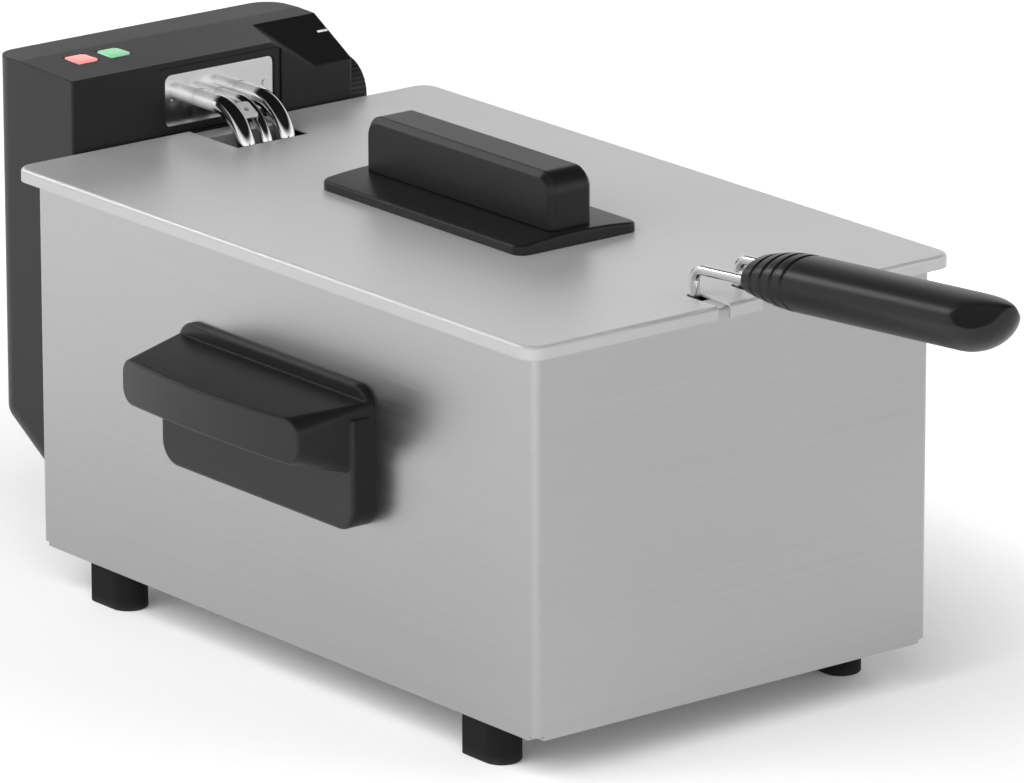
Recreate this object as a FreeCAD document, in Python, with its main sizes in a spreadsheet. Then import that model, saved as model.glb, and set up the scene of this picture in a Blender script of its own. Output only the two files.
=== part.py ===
import FreeCAD, Part
import math
import os
import re

import Sketcher
from FreeCAD import Placement, Rotation, Vector

# Deep fryer: a folded steel housing on rubber feet, a lift-out oil tank, a control head that hangs on
# rails behind it with its heating loop in the oil, a wire basket with a long grip, and a steel lid.
# Millimetres, +Z up, the basket's grip towards -Y, the origin on the floor under the middle of the whole.

# Driving sizes, by name
SIZES = {
    # housing, folded from one sheet and open at the top
    "housing_width": 192.0,
    "housing_length": 313.2,
    "housing_height": 153.4,
    "housing_sheet": 0.8,
    "housing_corner": 3.0,
    "housing_flange": 22.0,
    "corner_relief": 5.0,
    "relief_rise": 1.6,
    # base plate lying on the housing's inward flange
    "base_gap": 0.6,
    "base_sheet": 0.8,
    "base_screw_spread": 50.0,
    # small screws and their holes
    "screw_radius": 1.5,
    "screw_head_radius": 3.2,
    "screw_head": 1.8,
    "screw_tail": 3.0,
    "hole_gap": 0.15,
    # rubber feet, round at the front
    "foot_height": 18.5,
    "foot_width": 15.7,
    "foot_length": 21.8,
    "foot_inset": 4.5,
    "foot_front": 117.8,
    "foot_rear": 119.4,
    "foot_web": 6.5,
    "foot_bore_gap": 0.8,
    "foot_edge": 1.0,
    # side handles: a hollow block with a hood that fingers reach under
    "handle_length": 121.4,
    "handle_height": 55.9,
    "handle_low": 59.4,
    "handle_back": 11.2,
    "handle_corner": 9.5,
    "handle_edge": 1.5,
    "handle_wall": 3.0,
    "handle_sheet": 3.2,
    "hood_length": 111.2,
    "hood_height": 18.4,
    "hood_lift": 29.4,
    "hood_reach": 33.0,
    "hood_droop": 8.5,
    "hood_cheek": 7.0,
    "hood_corner": 7.0,
    "hood_root_corner": 1.5,
    "hood_rise": 2.6,
    "hood_arch": 4.6,
    "hood_edge": 1.0,
    "handle_screw_spread": 38.0,
    "handle_boss_radius": 4.5,
    "boss_gap": 0.4,
    # oil tank, drawn from sheet with a flat rim
    "tank_sheet": 0.8,
    "tank_side_gap": 4.2,
    "tank_floor_gap": 14.4,
    "tank_corner": 28.0,
    "tank_foot": 12.0,
    "rim_gap": 1.5,
    "rim_corner": 5.0,
    # lid, a shallow steel pan
    "lid_side_reach": 6.8,
    "lid_end_reach": 6.0,
    "lid_sheet": 0.8,
    "lid_skirt": 5.2,
    "lid_corner": 7.5,
    "lid_edge": 1.6,
    "notch_side_gap": 4.4,
    "notch_front_gap": 0.5,
    "slot_gap": 0.9,
    # lid handle: a crowned plate and an upright grip
    "plate_width": 58.6,
    "plate_length": 125.6,
    "plate_edge": 3.6,
    "plate_crown": 1.9,
    "plate_corner": 5.0,
    "plate_round": 1.2,
    "plate_ahead": 1.3,
    "lid_grip_width": 20.6,
    "lid_grip_length": 116.6,
    "lid_grip_height": 22.2,
    "lid_grip_round": 8.0,
    "lid_grip_bevel": 2.5,
    "lid_screw_spread": 36.0,
    "lid_screw_bite": 12.0,
    # control head, one tall moulding behind the lid
    "head_gap": 0.6,
    "head_left": 73.5,
    "head_right": 65.2,
    "head_depth": 54.9,
    "head_rise": 29.2,
    "head_crease": 36.0,
    "crease_rise": 1.2,
    "head_rear_drop": 0.6,
    "head_bottom_front": 0.2,
    "head_bottom_rear": 34.8,
    "head_wall": 3.0,
    "head_rear_wall": 6.0,
    "head_corner": 11.0,
    "head_heel": 9.0,
    "head_edge": 1.0,
    "slant_share": 1.15,
    # sloping facet over the dial, with its slanted left wall
    "facet_run": 25.0,
    "facet_fall": 13.2,
    "facet_top_left": 33.0,
    "facet_edge_left": 25.0,
    "facet_foot_left": 45.5,
    "facet_share": 1.25,
    "facet_corner": 6.0,
    # rails on the housing's back that carry the head
    "rail_spread": 40.0,
    "rail_web": 4.0,
    "rail_flange": 14.0,
    "rail_sheet": 1.5,
    "rail_low": 24.0,
    "rail_top": 118.0,
    "rail_gap": 0.4,
    "rivet_radius": 2.0,
    "rivet_head_radius": 3.6,
    "rivet_head": 1.2,
    "rivet_spread": 18.0,
    "rivet_inset": 12.0,
    # back cover sunk into the head's rear
    "cover_inset": 13.0,
    "cover_low": 22.0,
    "cover_recess": 4.0,
    "cover_sheet": 2.0,
    "cover_gap": 0.3,
    "cover_ledge": 8.0,
    # element plate and its frame in the head's front
    "face_left": 27.6,
    "face_right": 26.4,
    "face_low": 2.5,
    "face_high": 23.6,
    "face_sheet": 1.2,
    "face_set_back": 1.4,
    "face_corner": 3.0,
    "frame_width": 3.3,
    "frame_set_back": 0.7,
    "frame_gap": 0.1,
    "face_rivet_inset": 4.5,
    "face_rivet_radius": 1.0,
    "face_proud": 0.4,
    # heating tube and sensor tube
    "tube_radius": 3.7,
    "tube_spread": 9.9,
    "tube_rise": 12.0,
    "tube_drop": 29.8,
    "tube_bend": 19.0,
    "tube_tail": 12.0,
    "loop_outer": 50.0,
    "loop_inner": 18.0,
    "loop_front": 100.0,
    "loop_rear": 96.0,
    "loop_bend": 13.0,
    "loop_lift": 19.0,
    "sensor_radius": 2.5,
    "bulb_radius": 3.4,
    "bulb_length": 55.0,
    "bulb_lift": 10.0,
    "nut_radius": 7.0,
    "nut_length": 5.0,
    "strap_width": 12.0,
    "strap_sheet": 1.2,
    "strap_drop": 22.0,
    "clip_sheet": 1.0,
    "clip_width": 10.0,
    "clip_front": 60.0,
    "clip_rear": 50.0,
    "part_gap": 0.15,
    # lamps in the head's top
    "red_left": 51.7,
    "green_left": 35.8,
    "lamp_back": 24.0,
    "lamp_width": 10.2,
    "lamp_length": 11.2,
    "lamp_proud": 0.8,
    "lamp_depth": 6.0,
    "lamp_corner": 1.6,
    "bulb_gap": 0.4,
    "neon_radius": 2.6,
    "neon_length": 9.0,
    "board_sheet": 1.6,
    "board_margin": 4.0,
    # dial, its shaft and the thermostat
    "dial_radius": 14.0,
    "dial_back": 15.2,
    "dial_drop": 0.4,
    "dial_thick": 8.3,
    "dial_gap": 0.5,
    "dial_edge": 1.0,
    "dial_skin": 2.5,
    "dial_rib_radius": 0.4,
    "dial_ribs": 40.0,
    "shaft_radius": 3.0,
    "shaft_gap": 0.3,
    "press_gap": 0.05,
    "shaft_hole_gap": 0.5,
    "shaft_bite": 8.0,
    "thermostat_side": 22.0,
    "thermostat_depth": 24.0,
    "thermostat_clear": 3.0,
    # cut-out, reset button, switch, terminals and cord gland
    "button_radius": 3.5,
    "button_gap": 0.3,
    "button_travel": 2.0,
    "button_proud": 1.5,
    "button_flange": 1.5,
    "button_lip": 1.0,
    "button_up": 100.0,
    "button_right": 20.0,
    "cutout_side": 16.0,
    "cutout_depth": 12.0,
    "switch_width": 20.0,
    "switch_depth": 6.5,
    "switch_height": 10.0,
    "terminal_width": 30.0,
    "terminal_depth": 14.0,
    "terminal_height": 18.0,
    "terminal_up": 85.0,
    "gland_radius": 8.0,
    "gland_bore": 3.6,
    "gland_lip": 2.0,
    "gland_lip_depth": 1.6,
    "gland_tail": 8.0,
    "gland_up": 68.0,
    # basket of wire mesh
    "basket_width": 164.0,
    "basket_front_gap": 2.6,
    "basket_rear_gap": 12.0,
    "rim_drop": 12.0,
    "rim_wire": 2.0,
    "rim_bend": 12.0,
    "net_thick": 1.6,
    "net_bar": 1.6,
    "net_pitch": 12.0,
    "net_gap": 0.2,
    "skid_wire": 2.0,
    "skid_gap": 0.3,
    "skid_spread": 50.0,
    # basket handle
    "wire_radius": 2.0,
    "wire_half": 10.8,
    "wire_rise": 10.5,
    "wire_slope": 0.07,
    "wire_bend": 5.0,
    "wire_low": 100.0,
    "wire_rim_gap": 0.3,
    "wire_bite": 36.0,
    "bracket_width": 38.0,
    "bracket_height": 24.0,
    "bracket_sheet": 1.0,
    "bracket_drop": 14.0,
    "grip_gap": 12.4,
    "grip_length": 136.3,
    "grip_width": 28.0,
    "grip_height": 21.5,
    "collar_length": 22.0,
    "collar_wide": 0.93,
    "collar_tall": 0.72,
    "tip_length": 22.0,
    "tip_lift": 0.8,
    "tip_flat": 0.05,
    "grip_rings": 4.0,
    "grip_ring_start": 4.5,
    "grip_ring_step": 6.0,
    "grip_ring_width": 1.6,
    "grip_ring_depth": 0.7,
}

# Places worked out from the sizes, with the housing's own underside as height zero
PLACES = {
    "half_width": "housing_width / 2",
    "half_length": "housing_length / 2",
    "lid_under": "housing_height + tank_sheet",
    "lid_top": "lid_under + lid_sheet",
    "lid_half_x": "half_width + lid_side_reach",
    "lid_half_y": "half_length + lid_end_reach",
    "base_low": "housing_sheet",
    "base_top": "base_low + base_sheet",
    "tank_low": "base_top + tank_floor_gap",
    "tank_floor": "tank_low + tank_sheet",
    "tank_half_x": "half_width - housing_sheet - tank_side_gap",
    "tank_half_y": "half_length - housing_sheet - tank_side_gap",
    "head_front": "lid_half_y + head_gap",
    "head_rear": "head_front + head_depth",
    "head_inside": "head_front + head_wall",
    "head_top": "lid_top + head_rise",
    "crease_y": "head_front + head_crease",
    "crease_top": "head_top + crease_rise",
    "rear_top": "crease_top - head_rear_drop",
    "cover_back": "head_rear - cover_recess",
    "cover_inner": "cover_back - cover_sheet",
    "cover_left": "head_left - cover_inset",
    "cover_right": "head_right - cover_inset",
    "cover_bottom": "head_bottom_rear + cover_low",
    "cover_high": "rear_top - cover_inset",
    "rail_face": "half_length + rail_sheet",
    "rail_grip": "head_inside + rail_gap",
    "face_front": "head_front + face_set_back",
    "face_back": "face_front + face_sheet",
    "tube_z": "lid_top + tube_rise",
    "tube_y": "head_front - tube_drop",
    "loop_z": "tank_floor + loop_lift",
    "clip_top": "loop_z + tube_radius + part_gap + clip_sheet",
    "skid_z": "clip_top + skid_gap + skid_wire",
    "net_low": "skid_z + skid_wire + net_gap",
    "rim_z": "lid_under - rim_drop",
    "leg_y": "tank_half_y - tank_sheet - basket_front_gap - bracket_sheet - wire_radius",
    "basket_front": "leg_y - wire_radius - wire_rim_gap - rim_wire",
    "basket_rear": "tube_y - tube_radius - basket_rear_gap - rim_wire",
    "basket_half": "basket_width / 2 - rim_wire",
    "net_high": "rim_z - rim_wire - net_gap",
    "wire_z": "lid_top + wire_rise",
    "grip_rear": "lid_half_y + grip_gap",
    "grip_z": "wire_z + wire_slope * (grip_rear - leg_y)",
    "slope_cosine": "(1 + wire_slope * wire_slope) ^ (-0.5)",
    "tip_end": "grip_length - tip_length + tip_length * (1 - tip_flat * tip_flat) ^ 0.5",
    "tip_low": "grip_height / 2 * (tip_lift * (1 - tip_flat) - tip_flat)",
    "grip_tip": "grip_rear + (tip_end - wire_slope * tip_low) * slope_cosine",
    "middle": "(grip_tip - head_rear) / 2",
    "dial_y": "head_front + dial_back",
    "dial_z": "lid_top - dial_drop",
    "dial_inner": "head_right + dial_gap",
    "lamp_y": "head_front + lamp_back",
    "lamp_top": "head_top + crease_rise * lamp_back / head_crease + lamp_proud",
    "lamp_low": "lamp_top - lamp_proud - lamp_depth",
    "board_top": "lamp_low - bulb_gap - neon_length",
    "foot_x": "half_width - foot_inset - foot_width / 2",
    "spare": "housing_sheet * 5",
}

doc = FreeCAD.newDocument("deep_fryer")
sheet = doc.addObject("Spreadsheet::Sheet", "Sizes")
for row, (alias, size) in enumerate(SIZES.items(), start=1):
    sheet.set(f"A{row}", alias)
    sheet.set(f"B{row}", str(size))
    sheet.setAlias(f"B{row}", alias)
doc.recompute()

NAME = re.compile(r"[a-z][a-z_]*")
NODES = []


def formula(text):
    """The text with each size tied to its cell, and each place written out in sizes."""

    def tie(found):
        word = found.group()
        return f"({formula(PLACES[word])})" if word in PLACES else f"Sizes.{word}"

    return NAME.sub(tie, text)


def mm(text):
    """The text's value, read from the sheet."""

    def tie(found):
        word = found.group()
        return f"({mm(PLACES[word]):.9f})" if word in PLACES else f"({float(sheet.get(word)):.9f})"

    return FreeCAD.Units.parseQuantity(NAME.sub(tie, text)).Value


def both(text):
    """A span that is the same on each side of zero."""
    return f"-({text})", text


def around(center, half):
    """A span about a center."""
    return f"({center}) - ({half})", f"({center}) + ({half})"


def node(thing, label, x="0", y="0", z="0"):
    """Names a finished sub-part and sets it in the whole object's frame."""
    thing.Label = label
    for axis, text in zip("xyz", (x, f"middle + {y}", f"foot_height + {z}")):
        thing.setExpression(f"Placement.Base.{axis}", formula(text))
    NODES.append(thing)
    return thing


def part_body(name):
    return doc.addObject("PartDesign::Body", name)


def bind_box(box, x, y, z):
    for side, axis, (low, high) in zip(("Length", "Width", "Height"), "xyz", (x, y, z)):
        box.setExpression(side, formula(f"({high}) - ({low})"))
        box.setExpression(f"Placement.Base.{axis}", formula(low))
    return box


TURNS = {
    "x": Rotation(Vector(0, 1, 0), 90),
    "y": Rotation(Vector(1, 0, 0), -90),
    "z": Rotation(),
}


def bind_rod(rod, axis, x, y, z, radius):
    """A cylinder along one axis; its place on that axis is a span and on the others a formula."""
    rod.Placement = Placement(Vector(), TURNS[axis])
    rod.setExpression("Radius", formula(radius))
    for name, text in zip("xyz", (x, y, z)):
        low = text[0] if name == axis else text
        rod.setExpression(f"Placement.Base.{name}", formula(low))
        if name == axis:
            rod.setExpression("Height", formula(f"({text[1]}) - ({text[0]})"))
    return rod


def block(body, x, y, z, cut=False):
    kind = "PartDesign::SubtractiveBox" if cut else "PartDesign::AdditiveBox"
    return bind_box(body.newObject(kind, "block"), x, y, z)


def rod(body, axis, x, y, z, radius, cut=False):
    kind = "PartDesign::SubtractiveCylinder" if cut else "PartDesign::AdditiveCylinder"
    return bind_rod(body.newObject(kind, "rod"), axis, x, y, z, radius)


def box_tool(x, y, z):
    return bind_box(doc.addObject("Part::Box", "box_tool"), x, y, z)


def rod_tool(axis, x, y, z, radius):
    return bind_rod(doc.addObject("Part::Cylinder", "rod_tool"), axis, x, y, z, radius)


def cut_pair(base, tool):
    """The base with one tool's space taken out of it."""
    cut = doc.addObject("Part::Cut", "cut")
    cut.Base = base
    cut.Tool = tool
    return cut


def carve(base, tools):
    """The base with every tool's space taken out of it."""
    cutter = doc.addObject("Part::MultiFuse", "cutter")
    cutter.Shapes = tools
    return cut_pair(base, cutter)


def soften(body, size, pick, kind="Fillet"):
    """Rounds or bevels the edges of the body's newest feature that pick chooses."""
    doc.recompute()
    base = body.Tip
    names = [f"Edge{n}" for n, edge in enumerate(base.Shape.Edges, start=1) if pick(edge)]
    made = body.newObject(f"PartDesign::{kind}", kind.lower())
    made.Base = (base, names)
    made.setExpression("Radius" if kind == "Fillet" else "Size", formula(size))
    doc.recompute()
    return made


CLOSE = 1e-4


def near(a, b):
    return abs(a - b) < CLOSE


def runs_along(edge, axis):
    ends = [getattr(point.Point, axis) for point in edge.Vertexes]
    others = [name for name in "xyz" if name != axis]
    level = all(near(getattr(edge.BoundBox, f"{name.upper()}Length"), 0) for name in others)
    return len(ends) == 2 and level


def upright(edge):
    return runs_along(edge, "z")


def at_height(z):
    """Chooses the edges that lie level at one height."""
    return lambda edge: near(edge.BoundBox.ZMin, mm(z)) and near(edge.BoundBox.ZMax, mm(z))


def rounded_block(name, x, y, z, corner, rim=None, rim_radius=None):
    """A block with round upright corners and, where asked, a round rim at its top or bottom."""
    body = part_body(name)
    block(body, x, y, z)
    soften(body, corner, upright)
    if rim:
        soften(body, rim_radius, at_height(rim))
    return body


def plane_of(body, role):
    return next(found for found in body.Origin.OriginFeatures if found.Role == role)


def outline(body, role, corners):
    """A closed sketch of straight sides on one of the body's own planes."""
    sketch = body.newObject("Sketcher::SketchObject", "outline")
    sketch.AttachmentSupport = [(plane_of(body, role), "")]
    sketch.MapMode = "FlatFace"
    points = [Vector(mm(across), mm(up), 0) for across, up in corners]
    for here, there in zip(points, points[1:] + points[:1]):
        sketch.addGeometry(Part.LineSegment(here, there))
    for side in range(len(points)):
        sketch.addConstraint(Sketcher.Constraint("Coincident", side, 2, (side + 1) % len(points), 1))
    for side, (corner, point) in enumerate(zip(corners, points)):
        for kind, text, start in zip(("DistanceX", "DistanceY"), corner, (point.x, point.y)):
            number = sketch.addConstraint(Sketcher.Constraint(kind, -1, 1, side, 1, start))
            sketch.renameConstraint(number, f"{kind}_{side}")
            sketch.setExpression(f"Constraints.{kind}_{side}", formula(text))
    return sketch


def pad(body, sketch, length, offset=None):
    """Raises a sketch, about its own plane or, with an offset, from a plane that far along."""
    if offset:
        sketch.setExpression("AttachmentOffset.Base.z", formula(offset))
    made = body.newObject("PartDesign::Pad", "pad")
    made.Profile = sketch
    made.setExpression("Length", formula(length))
    made.Midplane = offset is None
    return made


def shaped(shape, name):
    """An object for a shape that has to be worked out in code."""
    made = doc.addObject("Part::Feature", name)
    made.Shape = shape
    return made


def bent_path(points, bends):
    """Straight runs between the points, joined by arcs, each of its own radius."""
    edges = []
    start = points[0]
    for before, corner, after, bend in zip(points, points[1:], points[2:], bends):
        back = (before - corner).normalize()
        ahead = (after - corner).normalize()
        half_angle = back.getAngle(ahead) / 2
        first = corner + back * (bend / math.tan(half_angle))
        last = corner + ahead * (bend / math.tan(half_angle))
        toward = (back + ahead).normalize()
        crown = corner + toward * (bend / math.sin(half_angle) - bend)
        edges.append(Part.LineSegment(start, first).toShape())
        edges.append(Part.Arc(first, crown, last).toShape())
        start = last
    edges.append(Part.LineSegment(start, points[-1]).toShape())
    return Part.Wire(edges)


def bent_rod(points, radius, bends):
    """A round bar along straight runs and arcs."""
    ring = Part.makeCircle(radius, points[0], points[1] - points[0])
    return bent_path(points, bends).makePipeShell([Part.Wire([ring])], True, False)


def same_bends(points, bend):
    return [bend] * (len(points) - 2)


def screw(body, axis, x, y, z, head_low):
    """A pan-head screw along an axis; the span runs from its seat to its tip."""
    rod(body, axis, x, y, z, "screw_radius")
    span = dict(zip("xyz", (x, y, z)))
    seat, tip = span[axis]
    span[axis] = (f"{seat} - screw_head", seat) if head_low else (tip, f"{tip} + screw_head")
    rod(body, axis, span["x"], span["y"], span["z"], "screw_head_radius")


# Where the screws and rivets go
BASE_SCREWS = [(side, "0") for side in both("half_width - housing_flange / 2")]
BASE_SCREWS += [
    (across, along)
    for across in both("base_screw_spread")
    for along in both("half_length - housing_flange / 2")
]
FEET = {
    "foot_front_left": ("-(foot_x)", "-(foot_front)"),
    "foot_front_right": ("foot_x", "-(foot_front)"),
    "foot_rear_left": ("-(foot_x)", "foot_rear"),
    "foot_rear_right": ("foot_x", "foot_rear"),
}
HANDLE_SCREWS = [
    (along, f"handle_low + handle_height * {share}")
    for along in both("handle_screw_spread")
    for share in ("0.3", "0.7")
]
RIVETS = [
    (across, up)
    for across in both("rivet_spread")
    for up in ("rail_low + rivet_inset", "rail_top - rivet_inset")
]
UNDER = ("-(spare)", "base_top + spare")


def floor_holes():
    """Holes for the base screws and the foot screws, through flange and base plate."""
    spots = BASE_SCREWS + list(FEET.values())
    return [rod_tool("z", x, y, UNDER, "screw_radius + hole_gap") for x, y in spots]


# Housing: outside less inside, with an inward flange, corner reliefs and its holes
housing_outside = rounded_block(
    "housing_outside", both("half_width"), both("half_length"), ("0", "housing_height"), "housing_corner"
)
housing_inside = rounded_block(
    "housing_inside",
    both("half_width - housing_sheet"),
    both("half_length - housing_sheet"),
    ("housing_sheet", "housing_height + spare"),
    "housing_corner - housing_sheet",
)
housing_tools = [
    housing_inside,
    box_tool(both("half_width - housing_flange"), both("half_length - housing_flange"), UNDER),
]
for corner_x in both("half_width - corner_relief / 2 + housing_sheet"):
    for corner_y in both("half_length - corner_relief / 2 + housing_sheet"):
        housing_tools.append(
            box_tool(
                around(corner_x, "corner_relief / 2"),
                around(corner_y, "corner_relief / 2"),
                ("-(spare)", "relief_rise"),
            )
        )
housing_tools += floor_holes()
for wall_x in both("half_width"):
    for along, up in HANDLE_SCREWS:
        housing_tools.append(rod_tool("x", around(wall_x, "spare"), along, up, "screw_radius + hole_gap"))
for across, up in RIVETS:
    housing_tools.append(
        rod_tool("y", across, around("half_length", "spare"), up, "rivet_radius + hole_gap")
    )
node(carve(housing_outside, housing_tools), "housing_shell")

# Base plate and the screws that hold it on the flange
base_blank = rounded_block(
    "base_blank",
    both("half_width - housing_sheet - base_gap"),
    both("half_length - housing_sheet - base_gap"),
    ("base_low", "base_top"),
    "housing_corner",
)
node(carve(base_blank, floor_holes()), "base_plate")

base_screws = part_body("base_screws")
for x, y in BASE_SCREWS:
    screw(base_screws, "z", x, y, ("0", "base_top + screw_tail"), True)
node(base_screws, "base_screws")

# Rubber feet, each with a sunk screw
foot_screws = part_body("foot_screws")
for label, (x, y) in FEET.items():
    foot = part_body(label)
    height = ("-(foot_height)", "0")
    nose = "foot_length / 2 - foot_width / 2"
    rod(foot, "z", "0", f"-({nose})", height, "foot_width / 2")
    block(foot, both("foot_width / 2"), (f"-({nose})", "foot_length / 2"), height)
    soften(foot, "foot_edge", at_height("-(foot_height)"))
    sunk = ("-(foot_height) - spare", "-(foot_web)")
    rod(foot, "z", "0", "0", sunk, "screw_head_radius + foot_bore_gap", True)
    rod(foot, "z", "0", "0", ("-(foot_web) - spare", "spare"), "screw_radius + hole_gap", True)
    node(foot, label, x, y)
    screw(foot_screws, "z", x, y, ("-(foot_web)", "base_top + screw_tail"), True)
node(foot_screws, "foot_screws")

# Side handles: a plate against the wall, a hollow block in front of it and an arched hood over the fingers
HANDLE_HIGH = "handle_low + handle_height"
HOOD_LOW = "handle_low + hood_lift"
HOOD_HIGH = f"{HOOD_LOW} + hood_height"
BLOCK_HIGH = f"{HOOD_HIGH} - handle_wall"
HOOD_SPREAD = "hood_reach + 2 * hood_arch"
ARCH_RADIUS = "(hood_length * hood_length / 4 + hood_arch * hood_arch) / (2 * hood_arch)"


def round_frame(x, half, low, high, corner):
    """A closed upright outline across the hood, with round corners."""
    spots = ((-half, low), (half, low), (half, high), (-half, high))
    corners = [Vector(x, along, up) for along, up in spots]
    edges = []
    for before, point, after in zip(corners[-1:] + corners, corners, corners[1:] + corners[:1]):
        back = (before - point).normalize()
        ahead = (after - point).normalize()
        crown = point + (back + ahead) * (corner * (1 - math.sqrt(0.5)))
        edges.append(Part.Arc(point + back * corner, crown, point + ahead * corner).toShape())
        edges.append(Part.LineSegment(point + ahead * corner, after - ahead * corner).toShape())
    return Part.Wire(edges)


def hood_form():
    """A hood that narrows and falls from the wall outwards, with its outer face arched along the wall."""
    root_x = mm("handle_sheet / 2")
    root = [
        mm("handle_length / 2"),
        mm(f"{HOOD_LOW} - hood_droop"),
        mm(f"{HOOD_HIGH} + hood_rise"),
        mm("hood_root_corner"),
    ]
    outer = [mm("hood_length / 2"), mm(HOOD_LOW), mm(HOOD_HIGH), mm("hood_corner")]
    share = (mm(HOOD_SPREAD) - root_x) / (mm("hood_reach") - root_x)
    spread = [first + (last - first) * share for first, last in zip(root, outer)]
    hood = Part.makeLoft([round_frame(root_x, *root), round_frame(mm(HOOD_SPREAD), *spread)], True, True)
    arch_radius = mm(ARCH_RADIUS)
    arch_place = Vector(mm("hood_reach + hood_arch") - arch_radius, 0, 0)
    arch = Part.makeCylinder(arch_radius, mm("2 * housing_height"), arch_place)
    arch.rotate(arch_place, Vector(0, 0, 1), 180)
    hood = hood.common(arch)
    front = max(hood.Faces, key=lambda face: face.CenterOfMass.x)
    return hood.makeFillet(mm("hood_edge"), front.Edges)


def side_handle(label, x, turned):
    plate = part_body(f"{label}_plate")
    block(plate, ("0", "handle_sheet"), both("handle_length / 2"), ("handle_low", HANDLE_HIGH))
    soften(plate, "handle_corner", lambda edge: runs_along(edge, "x"))
    soften(plate, "handle_edge", lambda edge: near(edge.BoundBox.XMin, mm("handle_sheet")))
    stop = part_body(f"{label}_stop")
    block(stop, ("0", "handle_back"), both("handle_length / 2"), ("handle_low", BLOCK_HIGH))
    foot_z = mm("handle_low")
    soften(stop, "handle_corner", lambda edge: runs_along(edge, "x") and near(edge.BoundBox.ZMin, foot_z))
    soften(stop, "handle_edge", lambda edge: near(edge.BoundBox.XMin, mm("handle_back")))
    filled = doc.addObject("Part::MultiFuse", "filled")
    filled.Shapes = [plate, stop, shaped(hood_form(), "hood")]
    hollows = [
        box_tool(
            ("handle_back", "hood_reach - handle_wall"),
            both("hood_length / 2 - hood_cheek"),
            (f"{HOOD_LOW} - hood_droop - spare", f"{HOOD_HIGH} - handle_wall"),
        ),
        box_tool(
            ("-(spare)", "handle_back - handle_wall"),
            both("handle_length / 2 - handle_wall"),
            ("handle_low + handle_wall", BLOCK_HIGH),
        ),
    ]
    hollow = carve(filled, hollows)
    bosses = doc.addObject("Part::MultiFuse", "bosses")
    bosses.Shapes = [hollow] + [
        rod_tool("x", ("0", "handle_back - handle_wall / 2"), along, up, "handle_boss_radius")
        for along, up in HANDLE_SCREWS
    ]
    bore = ("-(spare)", "handle_back - handle_wall")
    bores = [rod_tool("x", bore, along, up, "screw_radius + hole_gap") for along, up in HANDLE_SCREWS]
    made = carve(bosses, bores)
    if turned:
        made.Placement = Placement(Vector(), Rotation(Vector(0, 0, 1), 180))
    node(made, label, x)


side_handle("side_handle_right", "half_width", False)
side_handle("side_handle_left", "-(half_width)", True)

side_handle_screws = part_body("side_handle_screws")
for along, up in HANDLE_SCREWS:
    reach = ("half_width - housing_sheet", "half_width + handle_back - handle_wall - boss_gap")
    screw(side_handle_screws, "x", reach, along, up, True)
    reach = ("-(half_width + handle_back - handle_wall - boss_gap)", "-(half_width - housing_sheet)")
    screw(side_handle_screws, "x", reach, along, up, False)
node(side_handle_screws, "side_handle_screws")

# Guide rails: a plate with two T-shaped rails, riveted to the housing's back
guide_rails = part_body("guide_rails")
RAIL_Z = ("rail_low", "rail_top")
block(
    guide_rails,
    both("rail_spread + rail_flange / 2"),
    ("half_length", "rail_face"),
    RAIL_Z,
)
for rail_x in both("rail_spread"):
    block(guide_rails, around(rail_x, "rail_web / 2"), ("rail_face", "rail_grip"), RAIL_Z)
    block(
        guide_rails,
        around(rail_x, "rail_flange / 2"),
        ("rail_grip", "rail_grip + rail_sheet"),
        RAIL_Z,
    )
for across, up in RIVETS:
    rod(guide_rails, "y", across, around("half_length", "spare"), up, "rivet_radius + hole_gap", True)
node(guide_rails, "head_guide_rails")

guide_rivets = part_body("guide_rivets")
for across, up in RIVETS:
    inner = "half_length - housing_sheet"
    rod(guide_rivets, "y", across, (inner, "rail_face"), up, "rivet_radius")
    rod(guide_rivets, "y", across, (f"{inner} - rivet_head", inner), up, "rivet_head_radius")
    rod(guide_rivets, "y", across, ("rail_face", "rail_face + rivet_head"), up, "rivet_head_radius")
node(guide_rivets, "guide_rivets")

# Oil tank: a drawn pan with round corners and a flat rim that rests on the housing
RIM_Z = ("housing_height", "lid_under")
tank_rim = rounded_block(
    "tank_rim",
    both("lid_half_x - lid_sheet - rim_gap"),
    both("lid_half_y - lid_sheet - rim_gap"),
    RIM_Z,
    "rim_corner",
)
tank_outside = rounded_block(
    "tank_outside",
    both("tank_half_x"),
    both("tank_half_y"),
    ("tank_low", "lid_under"),
    "tank_corner",
    "tank_low",
    "tank_foot",
)
tank_inside = rounded_block(
    "tank_inside",
    both("tank_half_x - tank_sheet"),
    both("tank_half_y - tank_sheet"),
    ("tank_floor", "lid_under + spare"),
    "tank_corner - tank_sheet",
    "tank_floor",
    "tank_foot - tank_sheet",
)
tank_solid = doc.addObject("Part::Fuse", "tank_solid")
tank_solid.Base = tank_outside
tank_solid.Tool = tank_rim
node(cut_pair(tank_solid, tank_inside), "oil_tank")

# Control head: outside less inside, with the facet cut from its front right corner
HEAD_OUTSIDE = [
    ("head_front", "head_bottom_front"),
    ("head_front", "head_top"),
    ("crease_y", "crease_top"),
    ("head_rear", "rear_top"),
    ("head_rear", "head_bottom_rear"),
]
BOTTOM_SLOPE = "(head_bottom_rear - head_bottom_front) / head_depth"
HEAD_INSIDE = [
    ("head_inside", f"head_bottom_front + {BOTTOM_SLOPE} * head_wall + head_wall * slant_share"),
    ("head_inside", "head_top - head_wall"),
    ("crease_y", "crease_top - head_wall"),
    ("head_rear - head_rear_wall", "rear_top - head_wall"),
    (
        "head_rear - head_rear_wall",
        f"head_bottom_rear - {BOTTOM_SLOPE} * head_rear_wall + head_wall * slant_share",
    ),
]


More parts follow.
